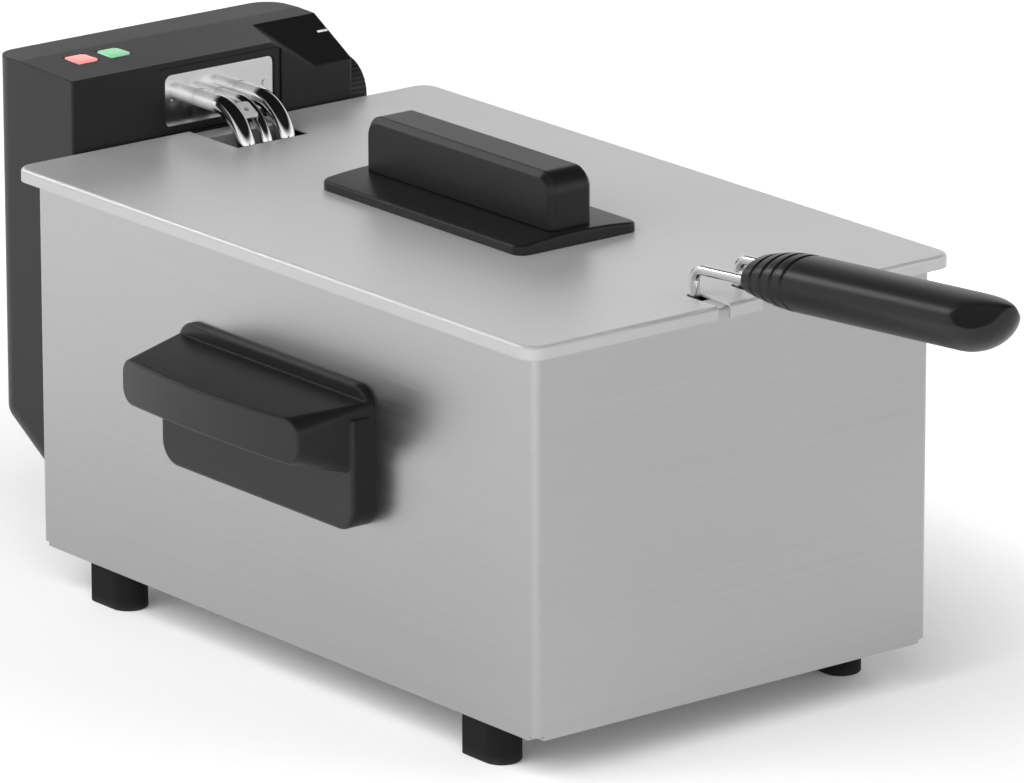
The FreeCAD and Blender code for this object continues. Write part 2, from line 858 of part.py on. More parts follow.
def head_form(name, corners, wall, heel, rear_corner):
    body = part_body(name)
    sketch = outline(body, "YZ_Plane", corners)
    pad(body, sketch, f"head_left + head_right - 2 * ({wall})", f"-(head_left) + ({wall})")
    doc.recompute()
    rear = mm(corners[3][0])
    heel_z = mm(corners[4][1])

    def at_rear(edge):
        return near(edge.BoundBox.YMin, rear)

    def at_heel(edge):
        return at_rear(edge) and runs_along(edge, "x") and near(edge.BoundBox.ZMin, heel_z)

    soften(body, heel, at_heel)
    soften(body, rear_corner, lambda edge: at_rear(edge) and upright(edge))
    return body


def facet_space(sink):
    """The space over the facet: above a plane parallel to X and right of a slanted wall."""
    front = mm("head_front")
    run = mm("facet_run")
    foot_z = mm("head_top - facet_fall")
    top_z = mm("head_top + crease_rise * facet_run / head_crease")
    foot_x = mm("facet_foot_left")
    lean = (mm("facet_edge_left") - foot_x) / mm("facet_fall")
    drift = (mm("facet_top_left") - foot_x - lean * (top_z - foot_z)) / run
    margin = mm("spare")
    right = mm("head_right") + margin
    ceiling = mm("crease_top") + margin
    rings = []
    for y in (front - margin, front + run + margin):
        floor_z = foot_z + (top_z - foot_z) * (y - front) / run

        def wall_x(z):
            return foot_x + lean * (z - foot_z) + drift * (y - front)

        corners = [
            Vector(wall_x(floor_z), y, floor_z),
            Vector(right, y, floor_z),
            Vector(right, y, ceiling),
            Vector(wall_x(ceiling), y, ceiling),
        ]
        rings.append(Part.makePolygon(corners + corners[:1]))
    space = Part.makeLoft(rings, True, True)
    feet = [ring.Vertexes[0].Point for ring in rings]
    seams = [
        edge
        for edge in space.Edges
        if all(any(foot.isEqual(end.Point, CLOSE) for foot in feet) for end in edge.Vertexes)
    ]
    space = space.makeFillet(mm("facet_corner"), seams)
    space.translate(Vector(-sink, 0, -mm("facet_share") * sink))
    return space


head_outside = head_form("head_outside", HEAD_OUTSIDE, "0", "head_heel", "head_corner")
head_front_y = mm("head_front")
soften(head_outside, "head_edge", lambda edge: upright(edge) and near(edge.BoundBox.YMin, head_front_y))
head_inside = head_form(
    "head_inside",
    HEAD_INSIDE,
    "head_wall",
    "head_heel - head_rear_wall",
    "head_corner - head_rear_wall",
)
head_blank = cut_pair(head_outside, shaped(facet_space(0), "facet_space"))
head_hollow = cut_pair(head_inside, shaped(facet_space(mm("head_wall")), "facet_wall_space"))

COVER_X = ("-(cover_left)", "cover_right")
COVER_Z = ("cover_bottom", "cover_high")
LEDGE_X = ("-(cover_left) + cover_ledge", "cover_right - cover_ledge")
LEDGE_Z = ("cover_bottom + cover_ledge", "cover_high - cover_ledge")
COVER_SCREWS = [
    (x, z)
    for x in ("-(cover_left) + cover_ledge / 2", "cover_right - cover_ledge / 2")
    for z in ("cover_bottom + cover_ledge / 2", "cover_high - cover_ledge / 2")
]
FRAME_X = ("-(face_left) - frame_width", "face_right + frame_width")
FRAME_Z = ("lid_top + face_low - frame_width", "lid_top + face_high + frame_width")
LAMPS = {"power_lamp_lens": "-(red_left)", "ready_lamp_lens": "-(green_left)"}

SIDE_WALL = around("head_right", "spare + head_wall")
head_tools = [
    head_hollow,
    box_tool(COVER_X, ("cover_back - cover_sheet", "head_rear + spare"), COVER_Z),
    box_tool(LEDGE_X, around("head_rear - head_rear_wall", "spare"), LEDGE_Z),
    box_tool(FRAME_X, around("head_front + head_wall / 2", "head_wall"), FRAME_Z),
    rod_tool("x", SIDE_WALL, "dial_y", "dial_z", "shaft_radius + shaft_hole_gap"),
]
for x, z in COVER_SCREWS:
    head_tools.append(
        rod_tool("y", x, around("head_rear - head_rear_wall", "spare"), z, "screw_radius + hole_gap")
    )
for rail_x in both("rail_spread"):
    head_tools.append(
        box_tool(
            around(rail_x, "rail_web / 2 + rail_gap"),
            around("head_front + head_wall / 2", "head_wall"),
            ("-(spare)", "rail_top"),
        )
    )
    head_tools.append(
        box_tool(
            around(rail_x, "rail_flange / 2 + rail_gap"),
            ("head_inside", "rail_grip + rail_sheet + rail_gap"),
            ("-(spare)", "rail_low"),
        )
    )
for x in LAMPS.values():
    head_tools.append(
        box_tool(
            around(x, "lamp_width / 2 + part_gap"),
            around("lamp_y", "lamp_length / 2 + part_gap"),
            ("lamp_low - spare", "lamp_top + spare"),
        )
    )
node(carve(head_blank, head_tools), "head_shell")

# Back cover, sunk into the head, with holes for the reset button and the cord gland
cover_blank = part_body("cover_blank")
block(
    cover_blank,
    ("-(cover_left) + cover_gap", "cover_right - cover_gap"),
    ("cover_inner", "cover_back"),
    ("cover_bottom + cover_gap", "cover_high - cover_gap"),
)
GLAND_Z = "gland_up"
COVER_SPAN = around("cover_back", "spare")
cover_tools = [
    rod_tool("y", "button_right", COVER_SPAN, "button_up", "button_radius + button_gap"),
    rod_tool("y", "0", COVER_SPAN, GLAND_Z, "gland_radius + part_gap"),
]
for x, z in COVER_SCREWS:
    cover_tools.append(rod_tool("y", x, COVER_SPAN, z, "screw_radius + hole_gap"))
node(carve(cover_blank, cover_tools), "head_back_cover")

back_cover_screws = part_body("back_cover_screws")
for x, z in COVER_SCREWS:
    screw(back_cover_screws, "y", x, ("head_rear - head_rear_wall - screw_tail", "cover_back"), z, False)
node(back_cover_screws, "back_cover_screws")

# Element plate in the head's front, inside a black frame
face_blank = part_body("face_blank")
FACE_X = ("-(face_left)", "face_right")
FACE_Z = ("lid_top + face_low", "lid_top + face_high")
block(face_blank, FACE_X, ("face_front", "face_back"), FACE_Z)
soften(face_blank, "face_corner", lambda edge: runs_along(edge, "y"))
FACE_SPAN = around("face_front", "spare")
FACE_RIVETS = [
    (x, "lid_top + (face_low + face_high) / 2")
    for x in ("-(face_left) + face_rivet_inset", "face_right - face_rivet_inset")
]
face_tools = [rod_tool("y", x, FACE_SPAN, "tube_z", "tube_radius + part_gap") for x in both("tube_spread")]
face_tools.append(rod_tool("y", "0", FACE_SPAN, "tube_z", "sensor_radius + part_gap"))
face_tools += [rod_tool("y", x, FACE_SPAN, z, "face_rivet_radius + frame_gap") for x, z in FACE_RIVETS]
node(carve(face_blank, face_tools), "element_plate")

frame_outside = part_body("frame_outside")
block(
    frame_outside,
    (f"{FRAME_X[0]} + frame_gap", f"{FRAME_X[1]} - frame_gap"),
    ("head_front + frame_set_back", "head_inside"),
    (f"{FRAME_Z[0]} + frame_gap", f"{FRAME_Z[1]} - frame_gap"),
)
frame_inside = part_body("frame_inside")
block(
    frame_inside,
    (f"{FACE_X[0]} - frame_gap", f"{FACE_X[1]} + frame_gap"),
    ("head_front - spare", "head_inside + spare"),
    (f"{FACE_Z[0]} - frame_gap", f"{FACE_Z[1]} + frame_gap"),
)
soften(frame_inside, "face_corner + frame_gap", lambda edge: runs_along(edge, "y"))
node(cut_pair(frame_outside, frame_inside), "plate_frame")

plate_rivets = part_body("plate_rivets")
for x, z in FACE_RIVETS:
    rod(plate_rivets, "y", x, ("face_front - face_proud", "face_back + face_sheet"), z, "face_rivet_radius")
node(plate_rivets, "plate_rivets")

# Heating element: one bent tube with both ends in the head and an M-shaped loop near the tank's floor
TAIL_Y = "face_back + tube_tail"


def element_path():
    """Half of the tube's corners; the other half is its mirror image."""
    spread = mm("tube_spread")
    down_y = mm("tube_y")
    low = mm("loop_z")
    outer = mm("loop_outer")
    inner = mm("loop_inner")
    front = -mm("loop_front")
    half = [
        Vector(-spread, mm(TAIL_Y), mm("tube_z")),
        Vector(-spread, down_y, mm("tube_z")),
        Vector(-spread, down_y, low),
        Vector(-outer, down_y, low),
        Vector(-outer, front, low),
        Vector(-inner, front, low),
        Vector(-inner, mm("loop_rear"), low),
    ]
    return half + [Vector(-point.x, point.y, point.z) for point in reversed(half)]


tube_points = element_path()
tube_bends = same_bends(tube_points, mm("loop_bend"))
tube_bends[0] = tube_bends[-1] = mm("tube_bend")
element_shape = bent_rod(tube_points, mm("tube_radius"), tube_bends)
node(shaped(element_shape, "element_tube"), "heating_element")

# Sensor tube between the heating tubes, with a thicker bulb at its foot
sensor_low = mm("loop_z + tube_radius + bulb_lift")
sensor_path = [
    Vector(0, mm(TAIL_Y), mm("tube_z")),
    Vector(0, mm("tube_y"), mm("tube_z")),
    Vector(0, mm("tube_y"), sensor_low),
]
sensor_shape = bent_rod(sensor_path, mm("sensor_radius"), [mm("tube_bend")])
bulb_foot = Vector(0, mm("tube_y"), sensor_low)
bulb_shape = Part.makeCylinder(mm("bulb_radius"), mm("bulb_length"), bulb_foot)
node(shaped(sensor_shape.fuse(bulb_shape).removeSplitter(), "sensor"), "thermostat_sensor")

# Gland nuts on the tubes behind the element plate
gland_nuts = part_body("gland_nuts")
for x, bore in (("-(tube_spread)", "tube_radius"), ("0", "sensor_radius"), ("tube_spread", "tube_radius")):
    wide = "tube_spread / 2 - part_gap"
    block(
        gland_nuts,
        around(x, wide),
        ("face_back", "face_back + nut_length"),
        around("tube_z", "nut_radius"),
    )
    rod(gland_nuts, "y", x, around("face_back", "nut_length + spare"), "tube_z", f"{bore} + part_gap", True)
node(gland_nuts, "element_gland_nuts")

# Strap that ties the three tubes together above the lid, and clips that hold the loop and bear the basket
strap_blank = part_body("strap_blank")
STRAP_Z = ("lid_under - strap_drop - strap_width", "lid_under - strap_drop")
block(
    strap_blank,
    both("tube_spread + tube_radius + part_gap + strap_sheet"),
    around("tube_y", "tube_radius + part_gap + strap_sheet"),
    STRAP_Z,
)
STRAP_SPAN = around("lid_under - strap_drop", "strap_width + spare")
strap_tools = [
    rod_tool("z", x, "tube_y", STRAP_SPAN, f"{bore} + part_gap")
    for x, bore in (("-(tube_spread)", "tube_radius"), ("0", "bulb_radius"), ("tube_spread", "tube_radius"))
]
node(carve(strap_blank, strap_tools), "tube_strap")

CLIP_ROWS = ("-(clip_front)", "clip_rear")
clip_blank = part_body("clip_blank")
for clip_y in CLIP_ROWS:
    block(
        clip_blank,
        both("loop_outer + tube_radius + part_gap + clip_sheet"),
        around(clip_y, "clip_width / 2"),
        ("loop_z - tube_radius - part_gap - clip_sheet", "clip_top"),
    )
clip_tools = []
for clip_y in CLIP_ROWS:
    span = around(clip_y, "clip_width")
    for run_x in both("loop_outer") + both("loop_inner"):
        clip_tools.append(rod_tool("y", run_x, span, "loop_z", "tube_radius + part_gap"))
    clip_tools.append(
        box_tool(
            both("loop_outer"),
            span,
            ("loop_z - tube_radius - part_gap - clip_sheet - spare", "loop_z + tube_radius + part_gap"),
        )
    )
    for side_x in ("-(loop_outer)", "loop_outer"):
        clip_tools.append(
            box_tool(
                around(side_x, "tube_radius + part_gap"),
                span,
                ("loop_z - tube_radius - part_gap - clip_sheet - spare", "loop_z"),
            )
        )
node(carve(clip_blank, clip_tools), "element_clips")

# Lamp lenses in the head's top, and the lamps on their board under them
neon_lamps = part_body("neon_lamps")
for label, x in LAMPS.items():
    lens = part_body(label)
    block(lens, both("lamp_width / 2"), both("lamp_length / 2"), ("lamp_low", "lamp_top"))
    soften(lens, "lamp_corner / 2", at_height("lamp_top"))
    node(lens, label, x, "lamp_y")
    rod(neon_lamps, "z", x, "lamp_y", ("board_top", "board_top + neon_length"), "neon_radius")
node(neon_lamps, "neon_lamps")

lamp_board = part_body("lamp_board")
block(
    lamp_board,
    ("-(red_left) - lamp_width / 2 - board_margin", "-(green_left) + lamp_width / 2 + board_margin"),
    ("head_inside", "lamp_y + lamp_length / 2 + board_margin"),
    ("board_top - board_sheet", "board_top"),
)
node(lamp_board, "lamp_board")

# Thermostat against the head's front wall, with a bush for the dial's shaft
thermostat_blank = part_body("thermostat_blank")
THERMOSTAT_RIGHT = "head_right - head_wall - thermostat_clear"
block(
    thermostat_blank,
    (f"{THERMOSTAT_RIGHT} - thermostat_side", THERMOSTAT_RIGHT),
    ("head_inside", "head_inside + thermostat_depth"),
    around("dial_z", "thermostat_side / 2"),
)
SHAFT_LOW = f"{THERMOSTAT_RIGHT} - shaft_bite"
shaft_bush = rod_tool(
    "x",
    (f"{SHAFT_LOW} - part_gap", f"{THERMOSTAT_RIGHT} + spare"),
    "dial_y",
    "dial_z",
    "shaft_radius + shaft_gap",
)
node(cut_pair(thermostat_blank, shaft_bush), "thermostat")

# Dial with a ribbed rim, on its shaft
DIAL_OUTER = "dial_inner + dial_thick"
dial_shaft = part_body("dial_shaft")
rod(dial_shaft, "x", (SHAFT_LOW, f"{DIAL_OUTER} - dial_skin"), "dial_y", "dial_z", "shaft_radius")
node(dial_shaft, "dial_shaft")

dial_blank = part_body("dial_blank")
rod(dial_blank, "x", ("dial_inner", DIAL_OUTER), "dial_y", "dial_z", "dial_radius")
dial_face = mm(DIAL_OUTER)
soften(dial_blank, "dial_edge", lambda edge: near(edge.BoundBox.XMin, dial_face))
DIAL_BORE = ("dial_inner - spare", f"{DIAL_OUTER} - dial_skin")
dial_tools = [rod_tool("x", DIAL_BORE, "dial_y", "dial_z", "shaft_radius + press_gap")]
rib_count = round(mm("dial_ribs"))
for rib in range(rib_count):
    turn = 2 * math.pi * rib / rib_count
    dial_tools.append(
        rod_tool(
            "x",
            ("dial_inner - spare", f"{DIAL_OUTER} + spare"),
            f"dial_y + dial_radius * ({math.cos(turn):.6f})",
            f"dial_z + dial_radius * ({math.sin(turn):.6f})",
            "dial_rib_radius",
        )
    )
node(carve(dial_blank, dial_tools), "thermostat_dial")

# Reset button through the back cover, and the cut-out behind it
reset_button = part_body("reset_button")
rod(
    reset_button,
    "y",
    "button_right",
    ("cover_inner - part_gap - button_flange", "cover_back + button_proud"),
    "button_up",
    "button_radius",
)
rod(
    reset_button,
    "y",
    "button_right",
    ("cover_inner - part_gap - button_flange", "cover_inner - part_gap"),
    "button_up",
    "button_radius + button_lip",
)
node(reset_button, "reset_button")

CUTOUT_REAR = "cover_inner - part_gap - button_flange - button_travel - part_gap"
thermal_cutout = part_body("thermal_cutout")
block(
    thermal_cutout,
    around("button_right", "cutout_side / 2"),
    (f"{CUTOUT_REAR} - cutout_depth", CUTOUT_REAR),
    around("button_up", "cutout_side / 2"),
)
for foot_x in ("button_right - cutout_side / 2", "button_right + cutout_side / 2"):
    block(
        thermal_cutout,
        around(foot_x, "cover_sheet / 2"),
        (f"{CUTOUT_REAR} - cutout_depth", "cover_inner"),
        around("button_up", "cutout_side / 4"),
    )
node(thermal_cutout, "thermal_cutout")

# Interlock switch over the right rail, terminal block, and the gland for the supply cord
interlock_switch = part_body("interlock_switch")
block(
    interlock_switch,
    around("rail_spread", "switch_width / 2"),
    ("head_inside", "head_inside + switch_depth"),
    ("rail_top + part_gap", "rail_top + part_gap + switch_height"),
)
node(interlock_switch, "interlock_switch")

terminal_block = part_body("terminal_block")
block(
    terminal_block,
    around("0", "terminal_width / 2"),
    ("head_inside", "head_inside + terminal_depth"),
    around("terminal_up", "terminal_height / 2"),
)
node(terminal_block, "terminal_block")

cord_gland = part_body("cord_gland")
GLAND_FRONT = "cover_inner - gland_tail"
GLAND_BACK = "cover_back + gland_lip_depth"
rod(cord_gland, "y", "0", (GLAND_FRONT, GLAND_BACK), GLAND_Z, "gland_radius")
rod(cord_gland, "y", "0", ("cover_back", GLAND_BACK), GLAND_Z, "gland_radius + gland_lip")
rod(cord_gland, "y", "0", (f"{GLAND_FRONT} - spare", "head_rear + spare"), GLAND_Z, "gland_bore", True)
node(cord_gland, "cord_gland")

# Basket: rim and skids of thick wire, sides and bottom of mesh


def rim_loop():
    """A closed loop of wire at one height, made as two halves that meet."""
    side = mm("basket_half")
    front = -mm("basket_front")
    rear = mm("basket_rear")
    height = mm("rim_z")
    halves = []
    for x in (side, -side):
        corners = [Vector(0, front, height), Vector(x, front, height)]
        corners += [Vector(x, rear, height), Vector(0, rear, height)]
        halves.append(bent_rod(corners, mm("rim_wire"), same_bends(corners, mm("rim_bend"))))
    return halves[0].fuse(halves[1])


node(shaped(rim_loop(), "rim"), "basket_rim")


def net(width, height):
    """A flat net in the XY plane: one plate with a grid of square gaps."""
    bar = mm("net_bar")
    columns = round(width / mm("net_pitch"))
    rows = round(height / mm("net_pitch"))
    step_x = (width - bar) / columns
    step_y = (height - bar) / rows

    def frame(x, y, wide, tall):
        corners = [Vector(x, y), Vector(x + wide, y), Vector(x + wide, y + tall), Vector(x, y + tall)]
        return Part.makePolygon(corners + corners[:1])

    gaps = [
        frame(bar + column * step_x, bar + row * step_y, step_x - bar, step_y - bar)
        for column in range(columns)
        for row in range(rows)
    ]
    face = Part.makeFace([frame(0, 0, width, height)] + gaps, "Part::FaceMakerBullseye")
    return face.extrude(Vector(0, 0, mm("net_thick")))


SIDE_LOW = "net_low + net_thick + net_gap"
SIDE_HIGH = f"net_high - ({SIDE_LOW})"
NET_LENGTH = "basket_rear + basket_front"
FACING_Y = Rotation(Vector(1, 0, 0), 90)
FACING_X = Rotation(Vector(1, 1, 1), 120)


def hung_net(label, width, height, turn, x, y, z):
    """A net turned to face its side of the basket and set in place."""
    made = shaped(net(mm(width), mm(height)), label)
    made.Placement = Placement(Vector(), turn)
    node(made, label, x, y, z)


FRONT_NET_Y = "-(basket_front) + net_thick"
SIDE_NET_Y = f"{FRONT_NET_Y} + net_gap"
SIDE_LENGTH = f"{NET_LENGTH} - 2 * (net_thick + net_gap)"
NET_WIDTH = "2 * basket_half"
LEFT_X = "-(basket_half)"
RIGHT_X = "basket_half - net_thick"
hung_net("basket_net_bottom", NET_WIDTH, NET_LENGTH, Rotation(), LEFT_X, "-(basket_front)", "net_low")
hung_net("basket_net_front", NET_WIDTH, SIDE_HIGH, FACING_Y, LEFT_X, FRONT_NET_Y, SIDE_LOW)
hung_net("basket_net_rear", NET_WIDTH, SIDE_HIGH, FACING_Y, LEFT_X, "basket_rear", SIDE_LOW)
hung_net("basket_net_left", SIDE_LENGTH, SIDE_HIGH, FACING_X, LEFT_X, SIDE_NET_Y, SIDE_LOW)
hung_net("basket_net_right", SIDE_LENGTH, SIDE_HIGH, FACING_X, RIGHT_X, SIDE_NET_Y, SIDE_LOW)

basket_skids = part_body("basket_skids")
for skid_x in both("skid_spread"):
    rod(basket_skids, "y", skid_x, ("-(basket_front)", "basket_rear"), "skid_z", "skid_wire")
node(basket_skids, "basket_skids")

# Basket handle: one bent wire, a bracket that clamps it to the rim, and the grip
def handle_wire_path():
    half_x = mm("wire_half")
    leg_y = -mm("leg_y")
    top = mm("wire_z")
    end_y = -mm("grip_rear + wire_bite")
    end_z = top + mm("wire_slope") * (leg_y - end_y)
    half = [
        Vector(-half_x, end_y, end_z),
        Vector(-half_x, leg_y, top),
        Vector(-half_x, leg_y, mm("wire_low")),
    ]
    return half + [Vector(-point.x, point.y, point.z) for point in reversed(half)]


wire_points = handle_wire_path()
wire_shape = bent_rod(wire_points, mm("wire_radius"), same_bends(wire_points, mm("wire_bend")))
node(shaped(wire_shape, "wire"), "basket_handle_wires")

handle_bracket = part_body("handle_bracket")
BRACKET_Y = "leg_y + wire_radius"
block(
    handle_bracket,
    both("bracket_width / 2"),
    (f"-({BRACKET_Y} + bracket_sheet)", f"-({BRACKET_Y})"),
    ("rim_z - bracket_drop - bracket_height", "rim_z - bracket_drop"),
)
for ear_x in both("bracket_width / 2 - bracket_sheet / 2"):
    block(
        handle_bracket,
        around(ear_x, "bracket_sheet / 2"),
        (f"-({BRACKET_Y})", "-(basket_front)"),
        ("rim_z - bracket_drop - bracket_height", "rim_z - bracket_drop"),
    )
node(handle_bracket, "handle_bracket")


COLLAR_STEPS = 5
BODY_STEPS = 5
TIP_STEPS = 8
LOFT_DEGREE = 3


def grip_stations():
    """Rings along the grip: distance from its rear end, shares of the full width and height, and lift."""
    collar = mm("collar_length")
    tip = mm("tip_length")
    tip_start = mm("grip_length") - tip
    stations = []
    for step in range(COLLAR_STEPS + 1):
        short = 1 - math.sin(math.pi / 2 * step / COLLAR_STEPS)
        wide = 1 - (1 - mm("collar_wide")) * short
        tall = 1 - (1 - mm("collar_tall")) * short
        stations.append((collar * step / COLLAR_STEPS, wide, tall, 0))
    for step in range(1, BODY_STEPS):
        stations.append((collar + (tip_start - collar) * step / BODY_STEPS, 1, 1, 0))
    last = math.acos(mm("tip_flat"))
    for step in range(TIP_STEPS + 1):
        angle = last * step / TIP_STEPS
        share = math.cos(angle)
        stations.append((tip_start + tip * math.sin(angle), share, share, mm("tip_lift") * (1 - share)))
    return stations


def grip_form(name, shrink):
    """An oval bar along -Y with its rear end at zero, smaller across by the shrink; its tip turns up."""
    half_x = mm("grip_width / 2") - shrink
    half_z = mm("grip_height / 2") - shrink
    rings = []
    for along, wide, tall, lift in grip_stations():
        center = Vector(0, -along, lift * half_z)
        oval = Part.Ellipse(
            center + Vector(half_x * wide, 0, 0),
            center + Vector(0, 0, half_z * tall),
            center,
        )
        rings.append(Part.Wire(oval.toShape()))
    return shaped(Part.makeLoft(rings, True, False, False, LOFT_DEGREE), name)


grip_outside = grip_form("grip_outside", 0)
grip_core = grip_form("grip_core", mm("grip_ring_depth"))
grip_tools = []
for ring in range(round(mm("grip_rings"))):
    ring_y = f"-(grip_ring_start) - {ring} * grip_ring_step"
    slab = box_tool(both("grip_width"), (f"{ring_y} - grip_ring_width", ring_y), both("grip_height"))
    grip_tools.append(cut_pair(slab, grip_core))
for bore_x in both("wire_half"):
    grip_tools.append(
        rod_tool("y", bore_x, ("-(wire_bite) - 2 * spare", "spare"), "0", "wire_radius + part_gap")
    )
basket_grip = carve(grip_outside, grip_tools)
grip_tilt = -math.degrees(math.atan(mm("wire_slope")))
basket_grip.Placement = Placement(Vector(), Rotation(Vector(1, 0, 0), grip_tilt))
node(basket_grip, "basket_grip", "0", "-(grip_rear)", "grip_z")

# Lid: a shallow pan with a notch for the tubes and slots for the handle wires
LID_DEEP = ("lid_top - lid_skirt - spare", "lid_top + spare")
lid_outside = rounded_block(
    "lid_outside",
    both("lid_half_x"),
    both("lid_half_y"),
    ("lid_top - lid_skirt", "lid_top"),
    "lid_corner",
    "lid_top",
    "lid_edge",
)
lid_inside = rounded_block(
    "lid_inside",
    both("lid_half_x - lid_sheet"),
    both("lid_half_y - lid_sheet"),
    ("lid_top - lid_skirt - spare", "lid_under"),
    "lid_corner - lid_sheet",
    "lid_under",
    "lid_edge - lid_sheet",
)
lid_tools = [
    lid_inside,
    box_tool(
        both("tube_spread + tube_radius + notch_side_gap"),
        ("tube_y - tube_radius - notch_front_gap", "lid_half_y + spare"),
        LID_DEEP,
    ),
]
SLOT_HALF = "wire_radius + slot_gap"
for wire_x in both("wire_half"):
    lid_tools.append(box_tool(around(wire_x, SLOT_HALF), ("-(lid_half_y) - spare", "-(leg_y)"), LID_DEEP))
    lid_tools.append(rod_tool("z", wire_x, "-(leg_y)", LID_DEEP, SLOT_HALF))
LID_SCREWS = [f"-(plate_ahead) + {along}" for along in both("lid_screw_spread")]
for screw_y in LID_SCREWS:
    lid_tools.append(rod_tool("z", "0", screw_y, LID_DEEP, "screw_radius + hole_gap"))
node(carve(lid_outside, lid_tools), "lid_pan")

# Lid handle: a plate with a crowned top, an upright grip, and the screws from under the lid
PLATE_TOP = "lid_top + plate_edge + plate_crown"
CROWN_RADIUS = "(plate_width * plate_width / 4 + plate_crown * plate_crown) / (2 * plate_crown)"
plate_blank = rounded_block(
    "plate_blank",
    both("plate_width / 2"),
    both("plate_length / 2"),
    ("lid_top", PLATE_TOP),
    "plate_corner",
)
crown = rod_tool("y", "0", both("plate_length"), f"{PLATE_TOP} - {CROWN_RADIUS}", CROWN_RADIUS)
crowned = doc.addObject("Part::Common", "crowned")
crowned.Base = plate_blank
crowned.Tool = crown
doc.recompute()
plate_low = mm("lid_top")
plate_round = mm("plate_round")
softened = doc.addObject("Part::Fillet", "softened")
softened.Base = crowned
softened.Edges = [
    (number, plate_round, plate_round)
    for number, edge in enumerate(crowned.Shape.Edges, start=1)
    if edge.BoundBox.ZMin > plate_low + CLOSE and not upright(edge)
]
through = around("lid_top", "plate_edge + plate_crown + spare")
plate_holes = [rod_tool("z", "0", y, through, "screw_radius + hole_gap") for y in both("lid_screw_spread")]
node(carve(softened, plate_holes), "lid_handle_plate", "0", "-(plate_ahead)")

lid_grip = part_body("lid_grip")
block(
    lid_grip,
    both("lid_grip_width / 2"),
    both("lid_grip_length / 2"),
    (PLATE_TOP, f"{PLATE_TOP} + lid_grip_height"),
)
lid_grip_top = mm(f"{PLATE_TOP} + lid_grip_height")
lid_grip_foot = mm(PLATE_TOP)
lid_grip_side = mm("lid_grip_width / 2")


def lid_grip_end(edge):
    return runs_along(edge, "x") and near(edge.BoundBox.ZMax, lid_grip_top)


def lid_grip_shoulder(edge):
    box = edge.BoundBox
    at_side = near(box.XLength, 0) and near(abs(box.XMin), lid_grip_side)
    return at_side and box.ZMin > lid_grip_foot + CLOSE


soften(lid_grip, "lid_grip_round", lid_grip_end)
soften(lid_grip, "lid_grip_bevel", lid_grip_shoulder, "Chamfer")
for screw_y in both("lid_screw_spread"):
    rod(
        lid_grip,
        "z",
        "0",
        screw_y,
        (f"{PLATE_TOP} - spare", "lid_under + lid_screw_bite + screw_tail"),
        "screw_radius + hole_gap",
        True,
    )
node(lid_grip, "lid_handle_grip", "0", "-(plate_ahead)")

lid_handle_screws = part_body("lid_handle_screws")
for screw_y in LID_SCREWS:
    screw(lid_handle_screws, "z", "0", screw_y, ("lid_under", "lid_under + lid_screw_bite"), True)
node(lid_handle_screws, "lid_handle_screws")

# Check every object, then write each sub-part to its own file
doc.recompute()
for thing in doc.Objects:
    if {"Invalid", "Error"} & set(thing.State):
        raise RuntimeError(f"{thing.Label} failed: {thing.State}")
for sub_part in NODES:
    shape = sub_part.Shape
    if shape.isNull() or not shape.isValid() or not shape.Solids:
        raise RuntimeError(f"{sub_part.Label} has no valid solid")

os.makedirs("parts", exist_ok=True)
for sub_part in NODES:
    sub_part.Shape.exportStep(f"parts/{sub_part.Label}.step")
    print(f"{sub_part.Label}: {len(sub_part.Shape.Solids)} solids, {sub_part.Shape.Volume / 1000:.2f} cm3")
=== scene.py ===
import math

import bpy
from mathutils import Euler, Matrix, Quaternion, Vector


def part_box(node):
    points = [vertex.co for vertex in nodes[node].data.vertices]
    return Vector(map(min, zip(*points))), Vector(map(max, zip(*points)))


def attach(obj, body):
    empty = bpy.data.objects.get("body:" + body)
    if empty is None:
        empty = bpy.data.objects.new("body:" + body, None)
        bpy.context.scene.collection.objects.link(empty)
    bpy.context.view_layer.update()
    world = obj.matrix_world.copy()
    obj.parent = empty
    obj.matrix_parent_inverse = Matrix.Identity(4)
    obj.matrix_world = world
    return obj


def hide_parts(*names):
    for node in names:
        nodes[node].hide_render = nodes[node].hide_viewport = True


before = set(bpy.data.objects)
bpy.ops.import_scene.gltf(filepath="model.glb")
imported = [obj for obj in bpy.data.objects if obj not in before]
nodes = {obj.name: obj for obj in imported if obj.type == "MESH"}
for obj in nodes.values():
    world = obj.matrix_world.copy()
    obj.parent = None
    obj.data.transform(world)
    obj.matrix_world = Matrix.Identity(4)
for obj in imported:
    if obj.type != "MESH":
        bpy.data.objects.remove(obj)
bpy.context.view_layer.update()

# Housing: one sheet of stainless steel folded into an open-topped box with a narrow flange turned in at
# the bottom. The sheet was brushed before it was folded, so a fine level grain runs round the walls.
STREAK_SHARE = 0.6
SMEAR_SCALE = 7.0
STEEL_SPREAD = 0.2
BRUSH_STRENGTH = 0.12
BRUSH_DEPTH = 0.00004
FOLD_HEIGHT = 0.0015


